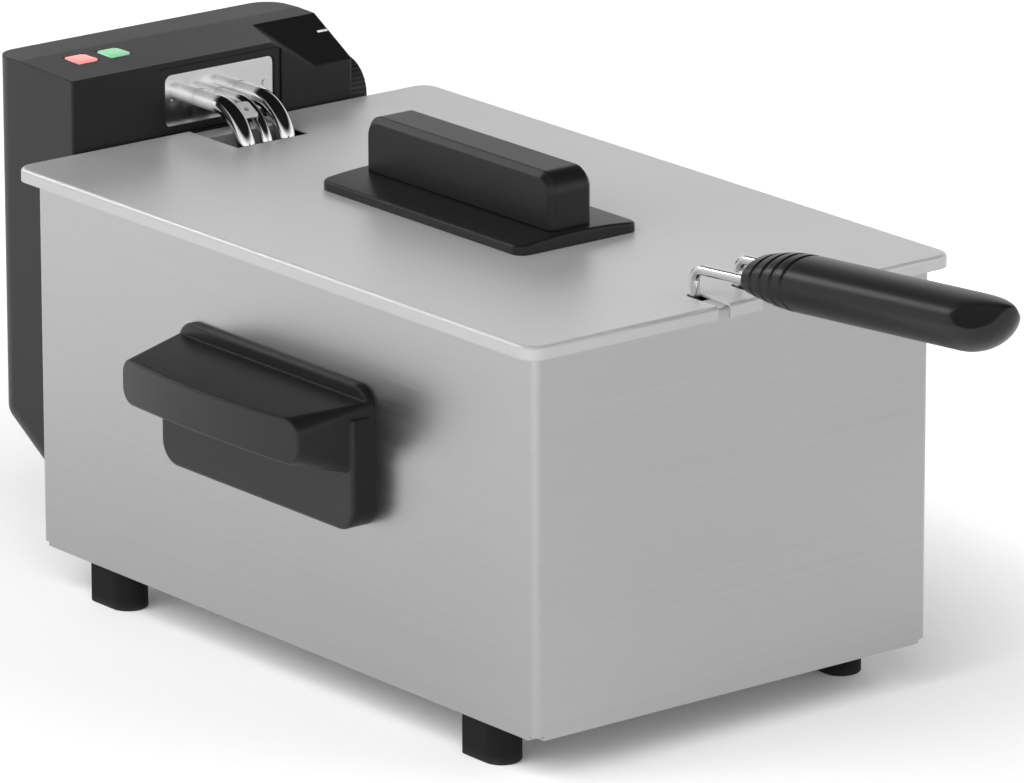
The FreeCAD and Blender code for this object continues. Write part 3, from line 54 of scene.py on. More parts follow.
class Reading:
    """A value that a finish reads at each point of a surface. Sums on readings become Math nodes."""

    def __init__(self, tree, socket=None):
        self.tree = tree
        self.socket = socket

    def node(self, kind, settings=None, inputs=None, output=0):
        """Adds one node: first its settings, then the values or links of its sockets."""
        made = self.tree.nodes.new(kind)
        for name, value in (settings or {}).items():
            setattr(made, name, value)
        for name, value in (inputs or {}).items():
            if isinstance(value, Reading):
                self.tree.links.new(value.socket, made.inputs[name])
            else:
                made.inputs[name].default_value = value
        return Reading(self.tree, made.outputs[output])

    def math(self, operation, first, second):
        """One Math node on two values."""
        return self.node("ShaderNodeMath", {"operation": operation}, {0: first, 1: second})

    def __add__(self, other):
        return self.math("ADD", self, other)

    def __sub__(self, other):
        return self.math("SUBTRACT", self, other)

    def __rsub__(self, other):
        return self.math("SUBTRACT", other, self)

    def __mul__(self, other):
        return self.math("MULTIPLY", self, other)

    __radd__ = __add__
    __rmul__ = __mul__

    def between(self, low, high):
        """A value that goes from low to high as this one goes from 0 to 1."""
        return self * (high - low) + low

    def noise(self, scale, detail=2.0):
        """Cloudy variation from 0 to 1 over these coordinates."""
        return self.node("ShaderNodeTexNoise", {}, {"Vector": self, "Scale": scale, "Detail": detail})

    def stretched(self, scale):
        """These coordinates, stretched or squeezed along each axis."""
        return self.node("ShaderNodeMapping", {}, {"Vector": self, "Scale": scale})

    def part(self, axis):
        """One coordinate of these."""
        return self.node("ShaderNodeSeparateXYZ", {}, {"Vector": self}, axis)

    def band(self, low, high):
        """0 below low, 1 above high, and a smooth step between."""
        settings = {"interpolation_type": "SMOOTHSTEP"}
        return self.node("ShaderNodeMapRange", settings, {"Value": self, "From Min": low, "From Max": high})

    def blend(self, first, second):
        """A colour that goes from the first to the second as this value goes from 0 to 1."""
        return self.node("ShaderNodeMix", {"data_type": "RGBA"}, {0: self, 6: first, 7: second}, 2)

    def bump(self, strength, distance, ground=None):
        """A surface roughened by this height, over the smooth surface or over another one."""
        inputs = {"Strength": strength, "Distance": distance, "Height": self}
        if ground:
            inputs["Normal"] = ground
        return self.node("ShaderNodeBump", {}, inputs)

    def into(self, shader, name):
        """Feeds this value to a socket of a shader."""
        self.tree.links.new(self.socket, shader.inputs[name])


def new_finish(name, constants):
    """A material with its constants set on the shader; gives it, the shader and the surface's place."""
    finish = bpy.data.materials.new(name)
    finish.use_nodes = True
    shader = finish.node_tree.nodes["Principled BSDF"]
    for socket, value in constants.items():
        shader.inputs[socket].default_value = value
    place = Reading(finish.node_tree).node("ShaderNodeTexCoord", output="Object")
    return finish, shader, place


def grey(level):
    """A colour without hue, from 0 for black to 1 for white."""
    return (level, level, level, 1.0)


def brushed_steel(name, grain, dark, light, smoothest, metallic=1.0, edge=None):
    """Brushed stainless steel; the grain stretches its streaks the way the sheet was brushed.

    A flat sheet's turned-down edge gets painted shade: below the sheet's height its colour turns to a darker
    tone than the lit top.
    """
    finish, shader, place = new_finish(name, {"Metallic": metallic})
    streaks = place.stretched(grain).noise(1.0, detail=3.0)
    smears = place.noise(SMEAR_SCALE, detail=3.0)
    tone = streaks * STREAK_SHARE + smears * (1 - STREAK_SHARE)
    color = tone.blend(grey(dark), grey(light))
    # Painted shade: below the sheet's height the colour is blended to the darker edge tone.
    if edge:
        edge_shade_tone, sheet_height = edge
        flat = place.part("Z").band(sheet_height - FOLD_HEIGHT, sheet_height)
        color = flat.blend(grey(edge_shade_tone), color)
    color.into(shader, "Base Color")
    tone.between(smoothest, smoothest + STEEL_SPREAD).into(shader, "Roughness")
    streaks.bump(BRUSH_STRENGTH, BRUSH_DEPTH).into(shader, "Normal")
    return finish


def dress(finish, *names):
    """Gives CAD nodes a finish in place of the plain one they came with."""
    for name in names:
        slots = nodes[name].data.materials
        slots.clear()
        slots.append(finish)


wall_steel = brushed_steel("wall_steel", grain=(5, 5, 1400), dark=0.36, light=0.45, smoothest=0.22)
dress(wall_steel, "housing_shell")

# Base plate: a flat sheet of the same steel that lies on the flange and closes the housing underneath.
# It is held by small pan-head screws with a cross recess, driven from below.
base_steel = brushed_steel("base_steel", grain=(1400, 5, 5), dark=0.4, light=0.5, smoothest=0.36)
dress(base_steel, "base_plate")
screw_steel = brushed_steel("screw_steel", grain=(300, 300, 300), dark=0.42, light=0.58, smoothest=0.22)

SCREW_HEAD = 0.0018
SCREW_HEAD_RADIUS = 0.0032
SCREW_RADIUS = 0.0015
SCREW_SIDES = 32
HEAD_ROUND = 0.0009
ROUND_STEPS = 4
RECESS_LENGTH = 0.0036
RECESS_WIDTH = 0.0009
RECESS_DEPTH = 0.0011
MERGE_DISTANCE = 0.00001
UNTURNED = (0, 0, 0)
DOWN = Vector((0, 0, -1))


def pick(piece):
    """Selects one piece alone and makes it the one that operators act on."""
    bpy.ops.object.select_all(action="DESELECT")
    piece.select_set(True)
    bpy.context.view_layer.objects.active = piece


def edit(piece):
    """Opens one piece for editing, with everything in it selected."""
    pick(piece)
    bpy.ops.object.mode_set(mode="EDIT")
    bpy.ops.mesh.select_all(action="SELECT")


def close_edit():
    """Goes back from editing a mesh to handling whole pieces."""
    bpy.ops.object.mode_set(mode="OBJECT")


def close_outward():
    """Turns every face of the piece outwards and ends its editing."""
    bpy.ops.mesh.select_all(action="SELECT")
    bpy.ops.mesh.normals_make_consistent(inside=False)
    close_edit()


def choose(piece, kind, test):
    """Selects, in edit mode, only the faces or edges of a piece that pass a test."""
    bpy.ops.mesh.select_all(action="DESELECT")
    bpy.ops.object.mode_set(mode="OBJECT")
    mesh = piece.data
    elements = mesh.polygons if kind == "FACE" else mesh.edges
    for element in elements:
        element.select = test([mesh.vertices[number].co for number in element.vertices])
    bpy.ops.object.mode_set(mode="EDIT")
    bpy.ops.mesh.select_mode(type=kind)


def push(way):
    """Extrudes what is selected along a way."""
    bpy.ops.mesh.extrude_region_move(TRANSFORM_OT_translate={"value": way})


def sink(piece, tool):
    """Takes a tool's space out of a piece and removes the tool."""
    pick(piece)
    cut = piece.modifiers.new("cut", "BOOLEAN")
    cut.object = tool
    bpy.ops.object.modifier_apply(modifier=cut.name)
    bpy.data.objects.remove(tool)


def settle(piece, place, turn=UNTURNED):
    """Moves and turns a piece, and writes that into its mesh."""
    pick(piece)
    piece.location = place
    piece.rotation_euler = turn
    bpy.ops.object.transform_apply(location=True, rotation=True, scale=True)


def copied(piece):
    """A copy of a piece with a mesh of its own, carried by no body."""
    twin = piece.copy()
    twin.data = piece.data.copy()
    twin.parent = None
    bpy.context.collection.objects.link(twin)
    return twin


def repeated(piece, count):
    """A modelled piece and as many copies as make up the count."""
    return [piece] + [copied(piece) for _ in range(count - 1)]


def join(pieces, name):
    """Makes several pieces one."""
    pick(pieces[0])
    for piece in pieces:
        piece.select_set(True)
    bpy.ops.object.join()
    pieces[0].name = name
    return pieces[0]


def finish_piece(piece, finish, body, angle=30):
    """Smooths a piece, gives it its finish, and hands it to the body that carries it."""
    pick(piece)
    bpy.ops.object.shade_smooth_by_angle(angle=math.radians(angle))
    piece.data.materials.clear()
    piece.data.materials.append(finish)
    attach(piece, body)


def solid_boxes(name):
    """The lowest and highest corner of each separate solid in a CAD node."""
    edit(copied(nodes[name]))
    bpy.ops.mesh.remove_doubles(threshold=MERGE_DISTANCE)
    bpy.ops.mesh.separate(type="LOOSE")
    close_edit()
    found = []
    for solid in bpy.context.selected_objects:
        spots = [vertex.co for vertex in solid.data.vertices]
        low = Vector([min(values) for values in zip(*spots)])
        high = Vector([max(values) for values in zip(*spots)])
        found.append((low, high))
    bpy.ops.object.delete()
    return found


def block(name, size, place=(0, 0, 0)):
    """A plain block to cut with or to shape, with its middle at a place."""
    bpy.ops.object.select_all(action="DESELECT")
    bpy.ops.mesh.primitive_cube_add(size=1, scale=size)
    made = bpy.context.object
    made.name = name
    settle(made, place)
    return made


def cross_head_screw(length):
    """A screw standing on its shank with its seat at height zero."""
    bpy.ops.object.select_all(action="DESELECT")
    bpy.ops.mesh.primitive_cylinder_add(vertices=SCREW_SIDES, radius=SCREW_HEAD_RADIUS, depth=SCREW_HEAD)
    made = bpy.context.object
    settle(made, (0, 0, SCREW_HEAD / 2))
    edit(made)
    choose(made, "EDGE", lambda ends: all(end.z > SCREW_HEAD / 2 for end in ends))
    bpy.ops.mesh.bevel(offset=HEAD_ROUND, segments=ROUND_STEPS)
    choose(made, "FACE", lambda corners: all(corner.z < SCREW_HEAD / 4 for corner in corners))
    bpy.ops.mesh.inset(thickness=SCREW_HEAD_RADIUS - SCREW_RADIUS)
    push((0, 0, -length))
    close_edit()
    for size in ((RECESS_LENGTH, RECESS_WIDTH), (RECESS_WIDTH, RECESS_LENGTH)):
        sink(made, block("recess", (*size, RECESS_DEPTH * 2), (0, 0, SCREW_HEAD)))
    return made


def drive_screws(node_name, body, outward):
    """Puts a modelled screw in place of each plain one in a node; outward gives the way its head faces."""
    solids = solid_boxes(node_name)
    low, high = solids[0]
    length = abs((high - low).dot(outward(low)))
    screws = repeated(cross_head_screw(length - SCREW_HEAD), len(solids))
    for screw, (low, high) in zip(screws, solids):
        facing = outward(low)
        seat = (low + high) / 2 + facing * (length / 2 - SCREW_HEAD)
        settle(screw, seat, facing.to_track_quat("Z", "Y").to_euler())
    driven = join(screws, f"modelled_{node_name}")
    finish_piece(driven, screw_steel, body)
    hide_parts(node_name)


drive_screws("base_screws", "housing", lambda low: DOWN)

# Feet: four short blocks of black rubber, round to the front, each held by a screw sunk in its sole.
# The rubber is dull, with a fine moulded grain and a little pale dust low down.
DUST_HEIGHT = 0.004


def soft_rubber():
    """Dull black rubber that is dusty near the ground."""
    finish, shader, place = new_finish("foot_rubber", {"Specular IOR Level": 0.2})
    grain = place.noise(1800)
    near_ground = 1 - place.part("Z").band(0.0, DUST_HEIGHT)
    dust = near_ground * place.noise(300, detail=3.0)
    dust.blend(grey(0.005), grey(0.03)).into(shader, "Base Color")
    grain.between(0.62, 0.77).into(shader, "Roughness")
    grain.bump(strength=0.25, distance=0.0001).into(shader, "Normal")
    return finish


dress(soft_rubber(), "foot_front_left", "foot_front_right", "foot_rear_left", "foot_rear_right")
drive_screws("foot_screws", "housing", lambda low: DOWN)

# Side handles: hollow mouldings of heat-proof black plastic, each a block against the wall with a hood
# over the fingers. Screws from inside the housing hold them.
EDGE_ROUND = 0.001
PLASTIC_SPREAD = 0.1
RIGHT = Vector((1, 0, 0))


def black_plastic(name, dark, light, smoothest):
    """Moulded black plastic with the fine matt grain of an etched mould and slightly rounded edges."""
    finish, shader, place = new_finish(name, {"Specular IOR Level": 0.32})
    grain = place.noise(2600)
    flow = place.noise(14, detail=3.0)
    flow.blend(grey(dark), grey(light)).into(shader, "Base Color")
    ((grain + flow) * PLASTIC_SPREAD + smoothest).into(shader, "Roughness")
    soft_edges = place.node("ShaderNodeBevel", {"samples": 4}, {"Radius": EDGE_ROUND})
    grain.bump(strength=0.2, distance=0.00006, ground=soft_edges).into(shader, "Normal")
    return finish


handle_plastic = black_plastic("handle_plastic", dark=0.005, light=0.009, smoothest=0.25)
dress(handle_plastic, "side_handle_left", "side_handle_right")
drive_screws("side_handle_screws", "housing", lambda low: -RIGHT if low.x > 0 else RIGHT)

# Guide rails: a folded steel plate with two upright rails, riveted to the housing's back.
# The control head hooks over the rails from above.
dress(base_steel, "head_guide_rails")
dress(screw_steel, "guide_rivets")

# Oil tank: a deep-drawn steel pan with round corners and a flat rim that hangs in the housing.
# Drawing leaves faint upright stretch marks on its walls.
tank_steel = brushed_steel(
    "tank_steel", grain=(260, 260, 6), dark=0.4, light=0.48, smoothest=0.22, metallic=0.6
)
dress(tank_steel, "oil_tank")

# Control head: a tall hollow moulding of black plastic with a sloping facet over the dial.
# A cover sunk into its back closes it, held by four screws.
BACK = Vector((0, 1, 0))
head_plastic = black_plastic("head_plastic", dark=0.005, light=0.009, smoothest=0.32)
dress(head_plastic, "head_shell", "head_back_cover", "plate_frame")
drive_screws("back_cover_screws", "control_head", lambda low: BACK)

# Element plate: a small mirror-polished steel plate riveted into the head's front, where the tubes come out.
# The rivets are plain steel with low round heads.
plate_steel = brushed_steel("plate_steel", grain=(900, 40, 40), dark=0.88, light=0.96, smoothest=0.05)
dress(plate_steel, "element_plate", "plate_rivets")

# Heating element: one bent steel tube with its ends in the head and a long loop near the tank's floor.
# It is satin near the head and polished from its bend on, and heat has tinted the loop straw and brown.
TUBE_RADIUS = 0.0037
TUBE_SIDES = 32
TUBE_BEND = 0.019
BEND_STEPS = 16
LOOP_BEND = 0.013
LOOP_INNER = 0.018
LOOP_REAR = 0.096
STRAP_SHELL = 0.00135
TINT_LOW = 0.06
TINT_HIGH = 0.15
TINT_DRIFT = 0.05
HEAT_TINT = (0.36, 0.25, 0.15, 1.0)
POLISHED_TONE = 0.78
POLISH = 0.2
SATIN_ROUGHNESS = 0.28
SATIN_DULLNESS = 0.4
SATIN_START = 0.003
SATIN_END = 0.001
tube_low, tube_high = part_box("heating_element")
strap_low, strap_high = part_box("tube_strap")
leg_y = (strap_low.y + strap_high.y) / 2
bend_start = leg_y + TUBE_BEND
lid_low, lid_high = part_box("lid_pan")
lid_middle = (lid_low.y + lid_high.y) / 2


def heated_steel():
    """Tube steel that is satin behind its bend, polished before it, and tinted by heat low down."""
    finish, shader, place = new_finish("heated_steel", {})
    drift = place.noise(30, detail=3.0)
    cool = (place.part("Z") + drift * TINT_DRIFT).band(TINT_LOW, TINT_HIGH)
    cool.blend(HEAT_TINT, grey(POLISHED_TONE)).into(shader, "Base Color")
    satin = place.part("Y").band(bend_start - SATIN_START, bend_start + SATIN_END)
    fine = place.noise(500)
    roughness = fine.between(0.24, 0.29) - cool * POLISH + satin * SATIN_ROUGHNESS
    roughness.into(shader, "Roughness")
    (1 - satin * SATIN_DULLNESS).into(shader, "Metallic")
    fine.bump(strength=0.04, distance=0.00003).into(shader, "Normal")
    return finish


def bent_tube(name, points, radius, bends):
    """A round bar along straight runs, with a bend of its own radius at each corner."""
    bpy.ops.object.select_all(action="DESELECT")
    bpy.ops.mesh.primitive_circle_add(vertices=TUBE_SIDES, radius=radius, fill_type="NGON")
    made = bpy.context.object
    made.name = name
    settle(made, points[0], (points[1] - points[0]).to_track_quat("Z", "Y").to_euler())
    edit(made)
    here = points[0]
    for before, corner, after, bend in zip(points, points[1:], points[2:], bends):
        back = (before - corner).normalized()
        ahead = (after - corner).normalized()
        turn = math.pi - back.angle(ahead)
        reach = bend * math.tan(turn / 2)
        start = corner + back * reach
        inward = (ahead - back * ahead.dot(back)).normalized()
        push(start - here)
        bpy.ops.mesh.spin(
            steps=BEND_STEPS, angle=turn, center=start + inward * bend, axis=ahead.cross(-back)
        )
        here = corner + ahead * reach
    push(points[-1] - here)
    close_outward()
    return made


def mirrored(points):
    """The points, and then the same points on the other side on the way back."""
    return points + [Vector((-point.x, point.y, point.z)) for point in reversed(points)]


tube_x = TUBE_RADIUS + STRAP_SHELL - strap_high.x
tube_top = tube_high.z - TUBE_RADIUS
loop_z = tube_low.z + TUBE_RADIUS
loop_x = tube_low.x + TUBE_RADIUS
loop_front = tube_low.y + TUBE_RADIUS
tube_points = mirrored(
    [
        Vector((tube_x, tube_high.y, tube_top)),
        Vector((tube_x, leg_y, tube_top)),
        Vector((tube_x, leg_y, loop_z)),
        Vector((loop_x, leg_y, loop_z)),
        Vector((loop_x, loop_front, loop_z)),
        Vector((-LOOP_INNER, loop_front, loop_z)),
        Vector((-LOOP_INNER, lid_middle + LOOP_REAR, loop_z)),
    ]
)
tube_bends = [LOOP_BEND] * (len(tube_points) - 2)
tube_bends[0] = tube_bends[-1] = TUBE_BEND
tube_steel = heated_steel()
heating_tube = bent_tube("heating_tube", tube_points, TUBE_RADIUS, tube_bends)
finish_piece(heating_tube, tube_steel, "control_head")
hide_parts("heating_element")
dress(tube_steel, "tube_strap", "element_clips", "element_gland_nuts")

# Sensor: a thinner steel tube between the heating tubes, bent alongside them and polished in the same way.
# It ends in a thick bulb that feels the oil's heat, and the strap ties it to the heating tubes.
SENSOR_RADIUS = 0.0025
BULB_RADIUS = 0.0034
BULB_LENGTH = 0.055
BULB_ROUND = 0.0008
sensor_low, sensor_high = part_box("thermostat_sensor")
bulb_top = Vector((0, leg_y, sensor_low.z + BULB_LENGTH))
bulb_foot = Vector((0, leg_y, sensor_low.z))
sensor_points = [Vector((0, sensor_high.y, tube_top)), Vector((0, leg_y, tube_top)), bulb_top]
sensor_tube = bent_tube("sensor_tube", sensor_points, SENSOR_RADIUS, [TUBE_BEND])
sensor_bulb = bent_tube("sensor_bulb", [bulb_top, bulb_foot], BULB_RADIUS, [])
edit(sensor_bulb)
choose(sensor_bulb, "EDGE", lambda ends: abs(ends[0].z - ends[1].z) < BULB_LENGTH / 2)
bpy.ops.mesh.bevel(offset=BULB_ROUND, segments=ROUND_STEPS)
close_edit()
sensor = join([sensor_tube, sensor_bulb], "sensor")
finish_piece(sensor, tube_steel, "control_head")
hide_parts("thermostat_sensor")

# Tie plate: a small punched steel tab welded between the left heating tube and the sensor at their bend.
# It keeps the thin sensor tube in its place.
TAB_LENGTH = 0.0066
TAB_WIDTH = 0.009
TAB_SHEET = 0.0009
TAB_ROUND = 0.0015
TAB_HOLE = 0.0012
HOLE_SIDES = 24
TAB_TILT = math.radians(28)
TAB_ROUND_BEND = math.radians(32)
TAB_LIFT = 0.002
CORNER_STEPS = 6
RIM_STEPS = 2
RIM_SHARE = 0.2


def rounded_tab(name, length, width, sheet, corner):
    """A flat tab at the origin with round corners and softened rims."""
    made = block(name, (length, width, sheet))
    edit(made)
    choose(made, "EDGE", lambda ends: abs(ends[0].z - ends[1].z) > sheet / 2)
    bpy.ops.mesh.bevel(offset=corner, segments=CORNER_STEPS)
    choose(made, "EDGE", lambda ends: ends[0].z * ends[1].z > 0)
    bpy.ops.mesh.bevel(offset=sheet * RIM_SHARE, segments=RIM_STEPS)
    close_edit()
    return made


tie_plate = rounded_tab("tie_plate", TAB_LENGTH, TAB_WIDTH, TAB_SHEET, TAB_ROUND)
bpy.ops.mesh.primitive_cylinder_add(vertices=HOLE_SIDES, radius=TAB_HOLE, depth=TAB_SHEET * 4)
sink(tie_plate, bpy.context.object)
tab_sweep = TUBE_BEND + TAB_LIFT
tab_place = (
    (tube_x + TUBE_RADIUS - SENSOR_RADIUS) / 2,
    bend_start - tab_sweep * math.sin(TAB_ROUND_BEND),
    tube_top - TUBE_BEND + tab_sweep * math.cos(TAB_ROUND_BEND),
)
settle(tie_plate, tab_place, (TAB_TILT, 0, 0))
tab_steel = brushed_steel(
    "tab_steel", grain=(300, 300, 300), dark=0.72, light=0.84, smoothest=0.3, metallic=0.6
)
finish_piece(tie_plate, tab_steel, "control_head")

# Lamps: two small square lenses pressed into the head's top, red for power and green for ready.
# Each is clear tinted plastic with a low domed face, lit from below by a neon lamp on a board.
LENS_CORNER = 0.0022
LENS_DOME = 0.0006
LENS_RINGS = 5
RIB_SCALE = 250.0
RIB_SHARE = 0.3


def lens_plastic(name, dark, light, glow):
    """Tinted plastic with fine ribs that glows a little in its own colour."""
    finish, shader, place = new_finish(name, {"Coat Roughness": 0.05, "Emission Strength": glow})
    ribs = place.node(
        "ShaderNodeTexWave",
        {"bands_direction": "X"},
        {"Vector": place, "Scale": RIB_SCALE, "Distortion": 0.0},
    )
    cloud = place.noise(220)
    tone = ribs * RIB_SHARE + cloud * (1 - RIB_SHARE)
    color = tone.blend(dark, light)
    color.into(shader, "Base Color")
    color.into(shader, "Emission Color")
    cloud.between(0.12, 0.2).into(shader, "Roughness")
    return finish


def domed_lens(size):
    """A lens round the origin, with round corners and a face that rises to a low dome."""
    made = block("lens", size)
    edit(made)
    choose(made, "EDGE", lambda ends: abs(ends[0].z - ends[1].z) > size.z / 2)
    bpy.ops.mesh.bevel(offset=LENS_CORNER, segments=CORNER_STEPS)
    choose(made, "FACE", lambda corners: all(corner.z > 0 for corner in corners))
    bpy.ops.transform.translate(value=(0, 0, -LENS_DOME))
    for ring in range(LENS_RINGS):
        here = math.pi / 2 * ring / (LENS_RINGS + 1)
        there = math.pi / 2 * (ring + 1) / (LENS_RINGS + 1)
        shrink = math.cos(there) / math.cos(here)
        push((0, 0, LENS_DOME * (math.sin(there) - math.sin(here))))
        bpy.ops.transform.resize(value=(shrink, shrink, 1), center_override=(0, 0, 0))
    close_edit()
    return made


def press_in(lens, node_name, finish):
    """Puts a modelled lens in the place of a plain one."""
    low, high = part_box(node_name)
    lens.name = f"domed_{node_name}"
    settle(lens, (low + high) / 2)
    finish_piece(lens, finish, "control_head", angle=50)
    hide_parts(node_name)


red_lens = lens_plastic("red_lens", dark=(0.8, 0.16, 0.16, 1.0), light=(0.95, 0.36, 0.35, 1.0), glow=0.28)
green_lens = lens_plastic("green_lens", dark=(0.12, 0.44, 0.21, 1.0), light=(0.33, 0.62, 0.4, 1.0), glow=0.18)
lens_low, lens_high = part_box("power_lamp_lens")
power_lens, ready_lens = repeated(domed_lens(lens_high - lens_low), 2)
press_in(power_lens, "power_lamp_lens", red_lens)
press_in(ready_lens, "ready_lamp_lens", green_lens)

# Works inside the head: the lamp board, thermostat, cut-out, switch and terminals.
# They are mouldings of pale heat-proof plastic and brown laminate, hidden behind the cover.


def plain_moulding(name, dark, light):
    """A smooth, slightly speckled moulding."""
    finish, shader, place = new_finish(name, {})
    specks = place.noise(700, detail=4.0)
    specks.blend(dark, light).into(shader, "Base Color")
    specks.between(0.45, 0.65).into(shader, "Roughness")
    specks.bump(strength=0.1, distance=0.0001).into(shader, "Normal")
    return finish


pale_plastic = plain_moulding("pale_plastic", dark=(0.5, 0.47, 0.38, 1.0), light=(0.62, 0.6, 0.52, 1.0))
brown_board = plain_moulding("brown_board", dark=(0.2, 0.12, 0.05, 1.0), light=(0.3, 0.19, 0.09, 1.0))
lamp_glass = plain_moulding("lamp_glass", dark=(0.75, 0.62, 0.5, 1.0), light=(0.85, 0.75, 0.65, 1.0))
dress(pale_plastic, "thermostat", "thermal_cutout", "terminal_block")
dress(brown_board, "lamp_board")
dress(lamp_glass, "neon_lamps")
dress(handle_plastic, "interlock_switch")

# Dial: a ribbed disc of dark grey plastic on a steel shaft, turned by the thumb at the head's right side.
# Temperatures and a ring of ticks are printed in pale ink on its face.
dial_plastic = black_plastic("dial_plastic", dark=0.012, light=0.02, smoothest=0.3)
dress(dial_plastic, "thermostat_dial")
dress(screw_steel, "dial_shaft")
pale_ink = plain_moulding("pale_ink", dark=(0.62, 0.62, 0.6, 1.0), light=(0.72, 0.72, 0.7, 1.0))

DIAL_TURN = math.radians(270)
TEMPERATURES = ("0", "130", "150", "170", "190")
DIGIT_HEIGHT = 0.0029
DIGIT_RADIUS = 0.0078
TICK_RADIUS = 0.0112
TICK_LENGTH = 0.0018
TICK_WIDTH = 0.0005
TICKS_BETWEEN = 4
INK_THICKNESS = 0.0001
INK_ROUND = 0.00012
QUARTER_TURN = math.pi / 2
dial_low, dial_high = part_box("thermostat_dial")
dial_center = (dial_low + dial_high) / 2
face_x = dial_high.x + INK_THICKNESS / 2


def set_on_face(mark, angle, radius):
    """Stands a flat mark on the dial's face, its head outwards; the angle is taken from the top."""
    place = (face_x, dial_center.y + radius * math.sin(angle), dial_center.z + radius * math.cos(angle))
    upright = Quaternion((0, 0, 1), QUARTER_TURN) @ Quaternion((1, 0, 0), QUARTER_TURN)
    settle(mark, place, (Quaternion((1, 0, 0), -angle) @ upright).to_euler())


def printed_figure(words):
    """Raised figures lying flat, with their middle at the origin."""
    bpy.ops.object.select_all(action="DESELECT")
    bpy.ops.object.text_add()
    figure = bpy.context.object
    figure.data.body = words
    figure.data.size = DIGIT_HEIGHT
    figure.data.align_x = "CENTER"
    figure.data.align_y = "CENTER"
    figure.data.extrude = INK_THICKNESS / 2
    bpy.ops.object.convert(target="MESH")
    return figure


last_tick = TICKS_BETWEEN * (len(TEMPERATURES) - 1)
tick = rounded_tab("tick", TICK_WIDTH, TICK_LENGTH, INK_THICKNESS, INK_ROUND)
marks = repeated(tick, last_tick + 1)
for step, mark in enumerate(marks):
    set_on_face(mark, DIAL_TURN * step / last_tick, TICK_RADIUS)
for step, words in enumerate(TEMPERATURES):
    figure = printed_figure(words)
    set_on_face(figure, DIAL_TURN * step * TICKS_BETWEEN / last_tick, DIGIT_RADIUS)
    marks.append(figure)
dial_marks = join(marks, "dial_marks")
finish_piece(dial_marks, pale_ink, "thermostat_dial")

# Pointer: one pale line printed on the sloping facet above the dial, at its right edge.
# The dial's ticks are read against it.
POINTER_LENGTH = 0.005
POINTER_WIDTH = 0.0011
POINTER_BACK = 0.0158
POINTER_INSET = 0.0004
HEAD_RISE = 0.0292
FACET_RUN = 0.025
FACET_FALL = 0.0132
FACET_CLIMB = 0.01403
head_low, head_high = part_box("head_shell")
pointer = rounded_tab("pointer", POINTER_LENGTH, POINTER_WIDTH, INK_THICKNESS, INK_ROUND)
facet_foot = lid_high.z + HEAD_RISE - FACET_FALL
pointer_place = (
    head_high.x - POINTER_INSET - POINTER_LENGTH / 2,
    head_low.y + POINTER_BACK,
    facet_foot + FACET_CLIMB * POINTER_BACK / FACET_RUN + INK_THICKNESS / 3,
)
settle(pointer, pointer_place, (math.atan2(FACET_CLIMB, FACET_RUN), 0, 0))
finish_piece(pointer, pale_ink, "control_head")

# Reset button and cord gland: a red push button of the cut-out and a black plastic ring where the cord
# goes in. Both come out through holes in the back cover.
button_plastic = plain_moulding("button_plastic", dark=(0.35, 0.02, 0.02, 1.0), light=(0.5, 0.04, 0.03, 1.0))
dress(button_plastic, "reset_button")
dress(handle_plastic, "cord_gland")

# Basket frame: a rim and two skids of thick plated wire, with a folded sheet clamp for the handle.
# The wires are bent and welded together, and the clamp is welded to the basket's front under the rim.
wire_steel = brushed_steel("wire_steel", grain=(60, 60, 60), dark=0.66, light=0.76, smoothest=0.04)
dress(wire_steel, "basket_rim", "basket_skids", "handle_bracket")

# Handle wire: one plated wire bent into a long loop. Its legs stand in the clamp, come up through the lid's
# slots, and turn forward into the grip with a slight rise.
WIRE_HALF = 0.0108
WIRE_RADIUS = 0.002
WIRE_BEND = 0.005
HANDLE_SLOPE = 0.07
wires_low, wires_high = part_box("basket_handle_wires")
wire_back = wires_high.y - WIRE_RADIUS
wire_end = wires_high.z - WIRE_RADIUS
wire_rise = HANDLE_SLOPE * (wire_back - wires_low.y)
wire_points = mirrored(
    [
        Vector((-WIRE_HALF, wires_low.y, wire_end)),
        Vector((-WIRE_HALF, wire_back, wire_end - wire_rise)),
        Vector((-WIRE_HALF, wire_back, wires_low.z + WIRE_RADIUS)),
    ]
)
handle_wire = bent_tube("handle_wire", wire_points, WIRE_RADIUS, [WIRE_BEND] * (len(wire_points) - 2))
finish_piece(handle_wire, wire_steel, "basket")
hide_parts("basket_handle_wires")

# Basket mesh: five panels woven from thin plated wire, each held in a flat border welded to the frame.
# A wire goes over one crossing wire and under the next.
MESH_PITCH = 0.005
MESH_WIRE = 0.0004
MESH_SIDES = 6
BORDER_WIDTH = 0.0024
BORDER_SHEET = MESH_WIRE * 4
BORDER_ROUND = 0.0003


def woven_wires(run, step, crossings, count, first_lift):
    """Parallel wavy wires: each runs over and under at every crossing, and its neighbour the other way."""
    ring_turn = (0, QUARTER_TURN, 0) if run.x else (QUARTER_TURN, 0, 0)
    rows = []
    for row, lift in enumerate((first_lift, -first_lift)):
        bpy.ops.object.select_all(action="DESELECT")
        bpy.ops.mesh.primitive_circle_add(vertices=MESH_SIDES, radius=MESH_WIRE)
        wire = bpy.context.object
        settle(wire, step * (row + 0.5) + Vector((0, 0, lift * MESH_WIRE)), ring_turn)
        edit(wire)
        push(run / 2)
        for crossing in range(crossings - 1):
            way = -lift if crossing % 2 == 0 else lift
            push(run + Vector((0, 0, way * MESH_WIRE * 2)))
        push(run / 2)
        close_outward()
        repeat = wire.modifiers.new("repeat", "ARRAY")
        repeat.use_relative_offset = False
        repeat.use_constant_offset = True
        repeat.constant_offset_displace = step * 2
        repeat.count = (count - row + 1) // 2
        bpy.ops.object.modifier_apply(modifier=repeat.name)
        rows.append(wire)
    return join(rows, "wires")


